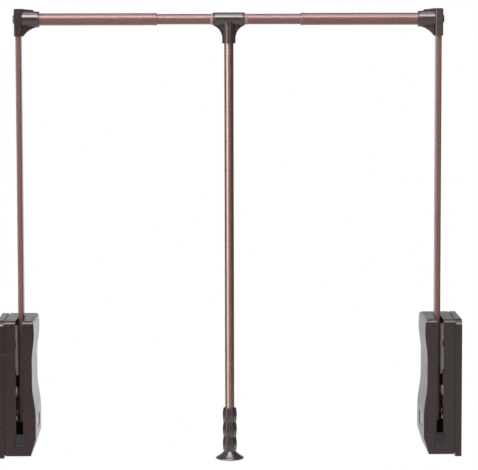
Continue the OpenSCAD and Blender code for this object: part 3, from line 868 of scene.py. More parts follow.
FINISHES = {
    "plastic": Plastic(
        Slot.PLASTIC, "moulded_brown", (0.033, 0.0195, 0.019), (0.039, 0.0235, 0.023), (0.21, 0.29)
    ),
    "fitting": Plastic(
        Slot.PLASTIC,
        "moulded_brown_glossy",
        (0.048, 0.027, 0.0275),
        (0.055, 0.031, 0.031),
        (0.2, 0.27),
        # paler edge tone: partly rubbed wear, partly a painted highlight
        (0.1, 0.077, 0.077),
        0.002,
        gloss=0.85,
    ),
    "polished": Plastic(
        Slot.PLASTIC,
        "moulded_brown_polished",
        (0.034, 0.023, 0.0225),
        (0.04, 0.026, 0.026),
        (0.2, 0.26),
        # paler edge tone: partly rubbed wear, partly a painted highlight
        (0.09, 0.072, 0.07),
        0.002,
        seal=2.5,
    ),
    # the bar, arm and handle tubes are one anodised finish; these three copies differ in tone, metal share
    # and seal as painted light and shade: the bar darkest, the handle lightest
    "bar": Anodised(
        Slot.BRONZE,
        "rose_bronze_bar",
        (0.148, 0.061, 0.053),
        (0.132, 0.055, 0.048),
        (0.5, 0.58),
        metallic=0.14,
    ),
    "arm": Anodised(
        Slot.BRONZE, "rose_bronze_arm", (0.19, 0.096, 0.08), (0.172, 0.087, 0.072), (0.42, 0.5), Axis.Z, 0.72
    ),
    "pole": Anodised(
        Slot.BRONZE,
        "rose_bronze_handle",
        (0.3, 0.18, 0.14),
        (0.27, 0.162, 0.126),
        (0.34, 0.4),
        Axis.Z,
        0.85,
        1.7,
    ),
    "tinted": Soft(
        Slot.TINTED, "tinted_nylon", (0.2, 0.09, 0.08), (0.18, 0.08, 0.071), (0.28, 0.36), gloss=0.8
    ),
    "collar": Soft(Slot.TINTED, "tinted_nylon_light", (0.36, 0.23, 0.2), (0.32, 0.2, 0.175), (0.28, 0.4)),
    "nylon": Soft(Slot.NYLON, "natural_nylon", (0.9, 0.9, 0.86), (0.85, 0.85, 0.81), (0.35, 0.5), 0.1),
    "rubber": Soft(
        Slot.RUBBER, "black_rubber", (0.02, 0.018, 0.02), (0.025, 0.022, 0.024), (0.4, 0.5), gloss=0.3
    ),
    "steel": Metal(
        Slot.STEEL, "zinc_plated_steel", (0.72, 0.73, 0.74), (0.62, 0.63, 0.64), (0.2, 0.34), 0.55
    ),
    # dark steel for the cover screws, and painted shade on the bright steel crank parts inside the case
    "dark_steel": Metal(Slot.STEEL, "blackened_steel", (0.1, 0.09, 0.09), (0.07, 0.065, 0.065), (0.3, 0.42)),
    "lacquer": Metal(Slot.STEEL, "grey_lacquer", (0.66, 0.68, 0.68), (0.6, 0.62, 0.62), (0.3, 0.4), 0.0),
    "badge": Metal(Slot.BADGE, "satin_badge", (0.5, 0.495, 0.5), (0.45, 0.445, 0.45), (0.22, 0.3), 0.8),
}


class Palette:
    """The materials of the finishes, each made once."""

    def __init__(self) -> None:
        """Starts with no material made."""
        self.made: dict[str, bpy.types.Material] = {}

    def paint(self, piece: Piece, finish: str) -> None:
        """Gives a piece one finish.

        Args:
            piece: The piece.
            finish: The finish's key.
        """
        if finish not in self.made:
            self.made[finish] = FINISHES[finish].make()
        piece.data.materials.clear()
        piece.data.materials.append(self.made[finish])


PALETTE = Palette()


def dress(piece: Piece, name: str, body: str, finish: str, *nodes: str) -> None:
    """Gives a finished piece its name, its finish, its body and the nodes it stands for.

    Args:
        piece: The piece.
        name: Its name.
        body: The body that it rides on.
        finish: The key of its finish.
        nodes: The plain nodes that it stands for.
    """
    piece.name = name
    piece.data.name = name
    modify(piece, "WEIGHTED_NORMAL", keep_sharp=True)
    PALETTE.paint(piece, finish)
    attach(piece, body)
    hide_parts(*nodes)
    LOG.info("%s rides on %s in %s, %d faces", name, body, finish, len(piece.data.polygons))


def dress_pair(piece: Piece, stem: str, body: str, finish: str, node: str) -> None:
    """Dresses a left piece and its mirrored twin.

    Args:
        piece: The left piece.
        stem: The name that both share after their side.
        body: The name that both bodies share after their side.
        finish: The key of their finish.
        node: The name that the plain nodes share after their side.
    """
    for side, made in zip(Side, (piece, mirrored(piece, Axis.X, MIDDLE))):
        dress(made, f"{side.value}_{stem}", f"{side.value}_{body}", finish, f"{side.value}_{node}")


# ---------------------------------------------------------------- sub-assemblies


@dataclass
class SideCase:
    """The plastic case at the wall: base plate, cover, badge, stop buffer and screws."""

    front: float = -57.5
    above: float = 176.0
    below: float = 70.0
    foot: float = 4.0
    plate_t: float = 11.3
    floor_t: float = 3.0
    tongue: float = 3.0
    wall: float = 2.5
    front_r: float = 3.0
    back_r: float = 7.0
    crest: float = 66.8
    crest_draw: float = 1.1
    crest_r: float = 6.0
    crest_z: Pair = (102.0, 154.0)
    waist: float = 62.5
    bulge: float = 68.6
    bulge_z: Pair = (-39.0, 0.0)
    waist_z: float = 62.0
    toe: float = 59.0
    slot: Pair = (33.2, 45.8)
    slot_bottom: float = -29.99
    slot_back: float = 13.0
    stop: Pair = (30.0, 49.0)
    stop_h: float = 23.0
    strut: Pair = (24.0, 13.615)
    strut_half: float = 8.0
    shelf_z: Pair = (24.29, 27.29)
    abutment_z: Pair = (160.0, 167.0)
    lug_y: Pair = (-54.8, 46.8)
    lug_end: float = 17.8
    screw_x: float = 14.3
    screw_z: Pair = (-17.0, 116.0)
    hole_y: Pair = (-42.0, 42.0)
    hole_z: Pair = (-46.5, 143.5)
    plate_r: float = 13.0
    tongue_r: float = 12.0
    cover_r: float = 7.0
    seam: Pair = (2.9, 1.9)
    badge_half: float = 21.0
    badge_z: Pair = (-25.5, -2.5)
    badge_depth: float = 1.6
    badge_t: float = 0.5
    play: float = 0.2

    def prism(self, inset: float, start: float, end: float, upper_r: float, foot: float = 0.0) -> Piece:
        """The case's side view as a slab, with rounded corners.

        Args:
            inset: How far it is drawn in.
            start: Where it starts from the wall.
            end: Where it ends.
            upper_r: The radius of its upper front corner.
            foot: How far it reaches below the cover.

        Returns:
            The slab.
        """
        half = -self.front - inset
        piece = block((start, -half, -self.below - foot + inset), (end, half, self.above - inset))
        corners = (
            (max(self.front_r - inset, 0.5), 4, lambda at: at.y < 0 and at.z < 0),
            (max(upper_r - inset, 0.5), 8, lambda at: at.y < NEAR - half and at.z > 90),
            (max(self.back_r - inset, 1.0), 8, lambda at: at.y > half - NEAR),
        )
        for radius, steps, place in corners:
            round_edges(piece, radius, steps, lambda at, way: abs(way.x) > ALIGNED and place(at))
        return piece

    def form(self, inset: float, start: float) -> Piece:
        """The cover as a solid: crest, waist, bulge and toe.

        Args:
            inset: How far it is drawn in.
            start: Where it starts from the wall.

        Returns:
            The solid.
        """
        half = -self.front - inset
        low = -self.below + inset
        top = self.above - inset
        waist = self.waist - inset
        bulge = self.bulge - inset
        stations = [(low, self.toe - inset), (self.bulge_z[0], bulge)]
        stations += eased((self.bulge_z[1], bulge), (self.waist_z, waist))
        stations += eased((self.crest_z[0], waist), (self.crest_z[1], self.crest - inset))
        stations.append((top, self.crest - self.crest_draw - inset))
        piece = profiled((start, -half, low), (self.bulge, half, top), stations, True, Axis.Z, Axis.X)
        radius = max(self.crest_r - inset, 1.0)
        round_edges(
            piece, radius, 8, lambda at, way: abs(way.y) > ALIGNED and at.z > top - NEAR and at.x > waist
        )
        combine(piece, "INTERSECT", self.prism(inset, start - 1, self.bulge + 1, self.cover_r))
        return piece

    def cover(self) -> Piece:
        """The cover: a shell with the arm's slot, the stop's opening and the badge's recess.

        Returns:
            The cover.
        """
        front = self.front
        piece = self.form(0.0, self.plate_t)
        round_edges(
            piece,
            0.8,
            3,
            lambda at, way: at.y < front + NEAR and at.x > 50 and abs(way.x) < 0.9 and abs(way.y) < 0.1,
        )
        bottom = self.slot_bottom
        wide, deep = self.seam
        seam_end = self.plate_t + wide
        ring = self.prism(-1.0, self.plate_t - 1, seam_end, self.cover_r)
        carve(ring, self.prism(deep, self.plate_t - 2, seam_end + 1, self.cover_r))
        carve(
            piece,
            self.form(self.wall, self.plate_t - 1),
            block((self.slot[0], front - 1, bottom), (self.slot[1], self.slot_back, self.above + 1)),
            block(
                (self.stop[0], front - 1, bottom - self.stop_h),
                (self.stop[1], front + self.wall + 1, bottom),
            ),
            block(
                (self.bulge - self.badge_depth, -self.badge_half, self.badge_z[0]),
                (self.bulge + 1, self.badge_half, self.badge_z[1]),
            ),
            ring,
        )
        for height in self.screw_z:
            rings = ((-0.5, 2.9), (0.0, 2.8), (1.4, 1.6), (4.0, 1.6))
            seat = turned((Axis.Y, (self.screw_x, height)), front, rings, 24)
            carve(piece, seat, mirrored(seat, Axis.Y))
        boss = bar(SWING_LINE, 8.0, 50.0, self.crest, 48)
        carve(boss, bar(SWING_LINE, 5.05, 49.0, 60.5, 48))
        return gather(finished(piece, 0.4, 3), finished(boss, 0.3))

    def base_plate(self) -> Piece:
        """The plate on the wall, with its rim, tongue, bosses, lugs and the spring's shelf.

        Returns:
            The plate.
        """
        piece = self.prism(0.0, 0.0, self.plate_t, self.plate_r, self.foot)
        rim = self.wall + self.play
        top = self.plate_t + self.tongue
        fuse(piece, self.prism(rim, self.plate_t - 2, top, self.tongue_r))
        carve(piece, self.prism(rim + 1.6, self.floor_t, top + 2, self.tongue_r))
        pads = []
        for side in self.hole_y:
            for height in self.hole_z:
                line = (Axis.X, (side, height))
                carve(piece, bar(line, 2.5, -1.0, 4.0, 32))
                pads.append(bored(bar(line, 6.0, 2.4, 5.0, 32), Axis.X, 3.5))
        carve(piece, bar(SWING_LINE, 5.0, self.floor_t - 0.01, 20.0, 48))
        return gather(finished(piece, 0.3, 3), *pads, *self.bosses())

    def bosses(self) -> list[Piece]:
        """What stands on the base plate's floor.

        Returns:
            The pivot boss, shelf, abutment, ribs and lugs.
        """
        start = self.floor_t - 0.6
        depth = self.strut[1]
        near = depth - self.strut_half
        far = depth + self.strut_half
        low, high = self.shelf_z
        rings = ((start, 10.0), (17.4, 10.0), (18.0, 9.4), (18.02, 6.8), (29.8, 6.8), (30.2, 6.4))
        neck = turned(SWING_LINE, 0.0, rings, 48)
        carve(neck, bar(SWING_LINE, 5.0, start - 1, 31.0, 48))
        shelf = block((start, near, low), (31.2, far, high))
        carve(shelf, bar((Axis.Z, self.strut), 4.8, 20.0, 30.0, 32))
        made = [neck, shelf, block((start, near, self.abutment_z[0]), (32.0, far, self.abutment_z[1]))]
        for side in (near, depth + 6.6):
            made.append(block((start, side, low), (self.lug_end, side + 1.4, low + 15)))
        for side in self.lug_y:
            for height in self.screw_z:
                lug = block((start, side, height - 5), (self.lug_end, side + 8, height + 5))
                carve(lug, bar((Axis.Y, (self.screw_x, height)), 1.5, side - 1, side + 9, 16))
                made.append(lug)
        return [finished(part, 0.35) for part in made]

    def badge(self) -> Piece:
        """The blank plate in the badge's recess, with a raised border.

        Returns:
            The plate.
        """
        back = self.bulge - self.badge_depth
        half = self.badge_half - self.play
        low, high = self.badge_z
        piece = block((back, -half, low + self.play), (back + self.badge_t, half, high - self.play))
        round_edges(piece, 1.2, 4, lambda _, way: abs(way.x) > ALIGNED)
        sink(piece, lambda _, out: out.x > ALIGNED, (1.1, 0.0), (0.25, -0.15))
        return finished(piece, 0.1)

    def buffer(self) -> Piece:
        """The block under the slot, with its flange behind the cover's wall.

        Returns:
            The block.
        """
        back = self.front + self.wall
        left, right = self.stop
        low = self.slot_bottom - self.stop_h
        high = self.slot_bottom - self.play
        piece = block(
            (left + self.play, self.front + 0.8, low + self.play), (right - self.play, back + 0.6, high)
        )
        sink(piece, lambda _, out: out.y < -ALIGNED, (1.6, 0.0), (0.3, -0.3))
        flange = block((left - 1.8, back, low - 2), (right + 1.8, back + 4, high))
        return gather(finished(piece, 0.7, 3), finished(flange, 0.5))

    def screws(self) -> Piece:
        """The four countersunk screws, with their cross recesses.

        Returns:
            The screws, as one piece.
        """
        made = []
        front = self.front
        rings = ((0.0, 2.6), (0.15, 2.68), (1.3, 1.5), (7.6, 1.5), (8.0, 1.1))
        for height in self.screw_z:
            centre = (self.screw_x, height)
            screw = turned((Axis.Y, centre), front, rings, 32)
            cross_cut(screw, centre, (1.5, 0.3), front - 1, front + 0.9)
            made += [finished(screw, 0.08), mirrored(screw, Axis.Y)]
        return gather(*made)

    def build(self) -> None:
        """Models both cases."""
        dress_pair(self.base_plate(), "wall_plate", "unit", "plastic", "base_plate")
        dress_pair(self.cover(), "cover_shell", "unit", "plastic", "cover")
        dress_pair(self.badge(), "badge_plate", "unit", "badge", "badge_panel")
        dress_pair(self.buffer(), "stop_buffer", "unit", "rubber", "stop_block")
        dress_pair(self.screws(), "case_screws", "unit", "dark_steel", "cover_screws")


@dataclass
class SideArm:
    """The swinging side: flat tube, corner fitting, button, thick tube and its end ring."""

    middle: float = 39.5
    thick: float = 10.0
    wide: float = 25.0
    corner_r: float = 2.2
    foot: float = -16.0
    top: float = 729.0
    holes: tuple[Pair, ...] = ((0.0, 7.05), (19.0, 2.5), (33.0, 2.5), (BAR, 3.0))
    elbow: Pair = (32.25, 46.75)
    elbow_half: float = 15.5
    elbow_z: Pair = (686.4, 736.0)
    elbow_r: float = 3.0
    socket_r: float = 14.4
    socket_end: float = 77.05
    web_half: float = 5.5
    tube_start: float = 46.95
    tube_end: float = 284.45
    tube_r: float = 11.0
    ring_w: float = 5.0

    def section(self, grow: float, start: float, end: float) -> Piece:
        """A length of the arm's flat section.

        Args:
            grow: How far it is grown all round.
            start: Its lower end.
            end: Its upper end.

        Returns:
            The solid bar.
        """
        side = self.thick / 2 + grow
        half = self.wide / 2 + grow
        piece = block((self.middle - side, -half, start), (self.middle + side, half, end))
        round_edges(piece, self.corner_r + grow, 8, lambda _, way: abs(way.z) > ALIGNED)
        return piece

    def arm(self) -> Piece:
        """The flat tube, with its pivot, rivet and screw holes.

        Returns:
            The tube.
        """
        piece = bored(self.section(0.0, self.foot, self.top), Axis.Z, 1.5)
        for height, radius in self.holes:
            carve(piece, bar((Axis.X, (0.0, height)), radius, 30.0, 50.0, 32))
        return finished(piece, 0.2)

    def web(self, half: float, lift: float, trim: float) -> Piece:
        """The hollow-edged web under the socket.

        Args:
            half: Half its thickness.
            lift: How far its curved edge is drawn up.
            trim: How far its ends are drawn in.

        Returns:
            The web.
        """
        inner = self.elbow[1]
        end = self.socket_end - 2.0
        last = end - trim
        curve = bowed((inner + 1.0, self.elbow_z[0]), (end, BAR - self.socket_r + 1.0), 3.3)
        stations = [(inner - 7.0 + trim, curve[0][1] + lift)]
        stations += [(place, height + lift) for place, height in curve if place < last]
        stations.append((last, curve[-1][1] + lift - 0.2 * trim))
        low = min(height for _, height in stations)
        return profiled((stations[0][0], -half, low), (last, half, BAR), stations)

    def corner(self) -> Piece:
        """The corner fitting: upright, socket, webs and the openings for arm and tube.

        Returns:
            The fitting.
        """
        outer, inner = self.elbow
        low, high = self.elbow_z
        end = self.socket_end
        radius = self.socket_r
        half = self.web_half
        piece = block((outer, -self.elbow_half, low), (inner, self.elbow_half, high))
        for test in (
            lambda at, way: abs(way.y) > ALIGNED and at.z > high - NEAR and at.x < self.middle,
            lambda at, way: abs(way.z) > ALIGNED and at.z < high - 10,
        ):
            round_edges(piece, self.elbow_r, 6, test)
        grooved = ((-3.6, 0.0), (-3.2, 0.3), (-2.8, 0.3), (-2.4, 0.0), (-0.6, 0.0), (0.0, 0.5))
        rings = [(end + step, radius - dip) for step, dip in grooved]
        barrel = turned(BAR_LINE, 0.0, [(self.middle, radius), *rings], 72)
        web = pocketed(self.web(half, 0.0, 0.0), lambda: self.web(2.0, 3.4, 6.0), 5.2)
        ridge = BAR + radius + 3.0
        crown = high - 0.02
        slope = [(self.middle, crown), (inner + 1.0, crown), (end - 16.0, ridge), (end - 12.0, ridge)]
        slope.append((end - 8.0, BAR + radius - 1.0))
        fuse(piece, barrel, web, profiled((self.middle, -half, BAR), (end - 8.0, half, high), slope, True))
        carve(
            piece,
            self.section(0.05, low - 5, self.top),
            bar(BAR_LINE, self.tube_r + 0.03, self.tube_start, end + 1),
            bar(BAR_LINE, 3.05, outer - 1, self.tube_start + 1, 32),
            bar(BAR_LINE, 5.75, outer - 1, outer + 2.0, 32),
        )
        return finished(piece, 0.5)

    def button(self) -> Piece:
        """The round button over the corner screw, slightly domed.

        Returns:
            The button.
        """
        rings = ((-3.0, 5.4), (-2.75, 6.6), (-2.2, 7.5), (-1.3, 8.1), (0.0, 8.3), (0.02, 5.7), (0.8, 5.7))
        return finished(turned(BAR_LINE, self.elbow[0], rings, 48), 0.0)

    def tube(self) -> Piece:
        """The thick tube of the bar."""
        piece = bar(BAR_LINE, self.tube_r, self.tube_start, self.tube_end, 96)
        return finished(bored(piece, Axis.X, 1.0), 0.2)

    def ring(self) -> Piece:
        """The bush in the thick tube's end, with its grooved ring.

        Returns:
            The bush.
        """
        end = self.tube_end
        bush = ((-20.0, 9.9), (0.0, 9.9), (0.02, 10.9), (0.4, 11.2), (3.2, 11.2))
        groove = ((3.5, 11.0), (3.9, 11.0), (4.4, 10.8), (self.ring_w, 10.1))
        piece = turned(BAR_LINE, end, bush + groove, 72)
        carve(piece, bar(BAR_LINE, 9.56, end - 21.0, end + self.ring_w + 1, 72))
        return finished(piece, 0.0)

    def build(self) -> None:
        """Models both arms."""
        dress_pair(self.arm(), "flat_arm", "arm", "arm", "arm_tube")
        dress_pair(self.corner(), "corner_elbow", "arm", "fitting", "corner_fitting")
        dress_pair(self.button(), "corner_button", "arm", "fitting", "corner_cap")
        dress_pair(self.tube(), "thick_tube", "arm", "bar", "outer_tube")
        dress_pair(self.ring(), "end_ring", "arm", "tinted", "tube_bush")


@dataclass
class CentreRail:
    """The thin tube of the bar, with the collars beside the tee."""

    radius: float = 9.5
    wall: float = 1.2
    half: float = 194.55
    collar_start: float = 28.65
    collar_w: float = 5.0
    collar_t: float = 0.7

    def tube(self) -> Piece:
        """The thin tube."""
        piece = bar(BAR_LINE, self.radius, MIDDLE - self.half, MIDDLE + self.half, 96)
        return finished(bored(piece, Axis.X, self.wall), 0.2)

    def collars(self) -> Piece:
        """Both collars, with rounded shoulders.

        Returns:
            The collars, as one piece.
        """
        start = MIDDLE + self.collar_start
        end = start + self.collar_w
        outer = self.radius + self.collar_t
        rings = ((start, outer - 0.4), (start + 0.3, outer), (end - 0.9, outer), (end, self.radius + 0.05))
        piece = turned(BAR_LINE, 0.0, rings, 72)
        carve(piece, bar(BAR_LINE, self.radius + 0.01, start - 1, start + 7, 72))
        finished(piece, 0.0)
        return gather(piece, mirrored(piece, Axis.X, MIDDLE))

    def build(self) -> None:
        """Models the rail."""
        dress(self.tube(), "thin_tube", "inner_rail", "bar", "inner_tube")
        dress(self.collars(), "tee_collars", "inner_rail", "collar", "tee_rings")


@dataclass
class PullHandle:
    """The tee on the bar with its screw, the long tube, the lobed grip and the flared knob."""

    half: float = 28.4
    radius: float = 12.1
    drop: float = 43.9
    socket_r: float = 12.2
    fixing_up: float = 8.0
    tube_r: float = 8.5
    tube_z: Pair = (-60.5, 704.45)
    grip_z: Pair = (-73.5, 7.0)
    lobes: int = 3
    lobe_r: float = 13.4
    notch_r: float = 11.9
    knob_r: float = 26.0
    knob_h: float = 13.7

    def web(self, half: float, lift: float) -> Piece:
        """Both hollow-edged webs of the tee.

        Args:
            half: Half their thickness.
            lift: How far their curved edges are drawn up.

        Returns:
            The webs.
        """
        end = self.half - 1.0
        low = BAR - 0.75 * self.drop
        start = (MIDDLE - end, BAR - self.radius + 0.5)
        left = bowed(start, (MIDDLE - self.socket_r + 0.2, low), 3.6)
        stations = [(place, height + lift) for place, height in left]
        stations += [(2 * MIDDLE - place, height) for place, height in reversed(stations)]
        return profiled((MIDDLE - end, -half, low + lift), (MIDDLE + end, half, BAR), stations)

    def tee(self) -> Piece:
        """The tee: sleeve with rims, socket with two raised lines, and webs.

        Returns:
            The tee.
        """
        half = self.half
        bottom = BAR - self.drop
        lip = ((0.0, 11.6), (0.4, 12.2), (1.0, 12.5), (1.6, 12.4))
        bead = ((2.1, 11.9), (2.5, 11.7), (2.9, 12.05), (3.3, 12.1))
        rims = [(-half + step, radius) for step, radius in lip + bead]
        rims += [(-along, radius) for along, radius in reversed(rims)]
        piece = turned(BAR_LINE, MIDDLE, rims, 72)
        wide = self.socket_r
        rings = ((bottom, wide - 0.5), (bottom + 0.5, wide), (bottom + 30.0, wide), (BAR, 11.8))
        socket = turned(HANDLE_LINE, 0.0, rings, 72)
        fuse(piece, socket, pocketed(self.web(4.5, 0.0), lambda: self.web(2.0, 3.2), 4.0))
        for across, depth in ((-5.4, -10.9), (2.7, -11.85)):
            line = block(
                (MIDDLE + across - 0.8, depth - 0.45, bottom + 1.5),
                (MIDDLE + across + 0.8, depth + 2.0, BAR - 8.0),
            )
            round_edges(line, 0.4, 2, lambda at, way: abs(way.z) > ALIGNED and at.y < -11.0)
            fuse(piece, line)
        carve(
            piece,
            bar(BAR_LINE, 9.55, MIDDLE - half - 1, MIDDLE + half + 1, 72),
            bar(HANDLE_LINE, self.tube_r + 0.03, bottom - 1, self.tube_z[1]),
            bar((Axis.Y, (MIDDLE, bottom + self.fixing_up)), 2.05, 5.0, 14.0, 24),
        )
        return finished(piece, 0.4)

    def fixing(self) -> Piece:
        """The screw at the tee's back, with a cross recess.

        Returns:
            The screw.
        """
        centre = (MIDDLE, BAR - self.drop + self.fixing_up)
        rings = ((6.7, 2.0), (12.2, 2.0), (12.22, 3.8), (13.1, 3.8), (13.6, 3.2), (13.8, 2.4))
        screw = turned((Axis.Y, centre), 0.0, rings, 32)
        return finished(cross_cut(screw, centre, (2.0, 0.4), 12.8, 15.0), 0.1)

    def tube(self) -> Piece:
        """The long tube of the handle.

        Returns:
            The tube.
        """
        piece = bored(bar(HANDLE_LINE, self.tube_r, *self.tube_z, 96), Axis.Z, 1.2)
        carve(piece, bar((Axis.Y, (MIDDLE, BAR - self.drop + self.fixing_up)), 2.0, 5.0, 14.0, 24))
        return finished(piece, 0.2)

    def grip(self) -> Piece:
        """The grip: six-sided barrels one above the other, with small thumb marks.

        Returns:
            The grip.
        """
        low, high = self.grip_z
        length = (high - low) / self.lobes
        stations = [(low, self.notch_r)]
        for lobe in range(self.lobes):
            for step in range(1, 8):
                share = step / 8
                swell = math.sin(math.pi * share) ** 0.8
                stations.append((low + length * (lobe + share), mix(self.notch_r, self.lobe_r, swell)))
            stations.append((low + length * (lobe + 1), self.notch_r))
        piece = turned(HANDLE_LINE, 0.0, stations, 6, math.pi / 6)
        round_edges(piece, 1.5, 3, lambda at, way: abs(way.z) > 0.9 and low + NEAR < at.z < high - NEAR)
        for lobe in range(self.lobes):
            for side in (-1.0, 1.0):
                bpy.ops.mesh.primitive_uv_sphere_add(segments=20, ring_count=12, radius=MM)
                bpy.context.object.scale = (1.1, 0.8, 2.4)
                place = (MIDDLE, side * 11.15, low + length * (lobe + 0.86))
                bpy.context.object.location = Vector(place) * MM
                carve(piece, settle())
        end = self.tube_z[0]
        carve(
            piece,
            bar(HANDLE_LINE, self.tube_r + 0.02, end, high + 1),
            bar(HANDLE_LINE, 7.3, low - 1, end + 1),
        )
        return finished(piece, 0.3, 2, 32.0)

    def knob(self) -> Piece:
        """The flared knob with a beaded rim and a dished foot.

        Returns:
            The knob.
        """
        top = self.grip_z[0]
        low = top - self.knob_h
        reach = self.knob_r
        flare = bowed((10.6, -top), (reach - 0.2, -(low + 2.4)), 0.7)
        rings = [(low, reach - 1.2), (low + 0.4, reach - 0.4), (low + 1.2, reach), (low + 2.0, reach)]
        rings += sorted((-height, radius) for radius, height in flare)
        piece = turned(HANDLE_LINE, 0.0, rings, 96)
        sink(piece, lambda _, out: out.z < -ALIGNED, (2.6, 0.0), (3.0, -1.6))
        stem = bar(HANDLE_LINE, 7.25, top - 0.6, top + 28.0, 48)
        return gather(finished(piece, 0.0), finished(stem, 0.4))

    def build(self) -> None:
        """Models the handle."""
        dress(self.tee(), "tee_body", "handle", "fitting", "tee_connector")
        dress(self.fixing(), "tee_fixing", "handle", "steel", "tee_screw")
        dress(self.tube(), "handle_pole", "handle", "pole", "handle_tube")
        dress(self.grip(), "lobed_grip", "handle", "fitting", "grip")
        dress(self.knob(), "flared_knob", "handle", "polished", "knob")


class Inside:
    """The plain nodes that stay: everything inside the cases and fittings."""

    PARTS = {
        "steel": ("pivot_pin", "pivot_clip", "piston_rod", "corner_screw"),
        # crosshead, crank lever, crank pin and rivets are bright steel; this dark finish is painted shade
        # for the inside of the case behind the slot
        "dark_steel": ("crosshead", "crank_lever", "crank_pin", "lever_rivets"),
        "nylon": ("pivot_bushes", "rod_guide", "crank_sleeve", "tube_plug"),
        "lacquer": ("gas_cylinder",),
        "plastic": ("cylinder_clips",),
        "rubber": ("cylinder_gland",),
    }

    def build(self) -> None:
        """Gives each plain node its finish."""
        for side in Side:
            for finish, parts in self.PARTS.items():
                for part in parts:
                    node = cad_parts[f"{side.value}_{part}"]
                    PALETTE.paint(node, finish)
                    LOG.info("%s stays, in %s", node.name, finish)


# ---------------------------------------------------------------- studio


@dataclass
class Lamp:
    """A soft rectangular lamp."""

    name: str
    place: Triple
    size: Pair
    power: float
    aim: Triple = (0.42, 0.0, 0.4)

    def build(self) -> None:
        """Hangs the lamp."""
        light = bpy.data.lights.new(self.name, "AREA")
        light.shape = "RECTANGLE"
        light.size = self.size[0]
        light.size_y = self.size[1]
        light.energy = self.power
        lamp = bpy.data.objects.new(self.name, light)
        bpy.context.scene.collection.objects.link(lamp)
        lamp.location = self.place
        lamp.rotation_euler = (Vector(self.aim) - lamp.location).to_track_quat("-Z", "Y").to_euler()
        lamp.visible_glossy = False


@dataclass(frozen=True)
class Panel:
    """A long soft panel that glosses show, between two angles from straight ahead."""

    angles: Pair
    soft: float
    strength: float
    reach: Pair = (0.45, 0.8)


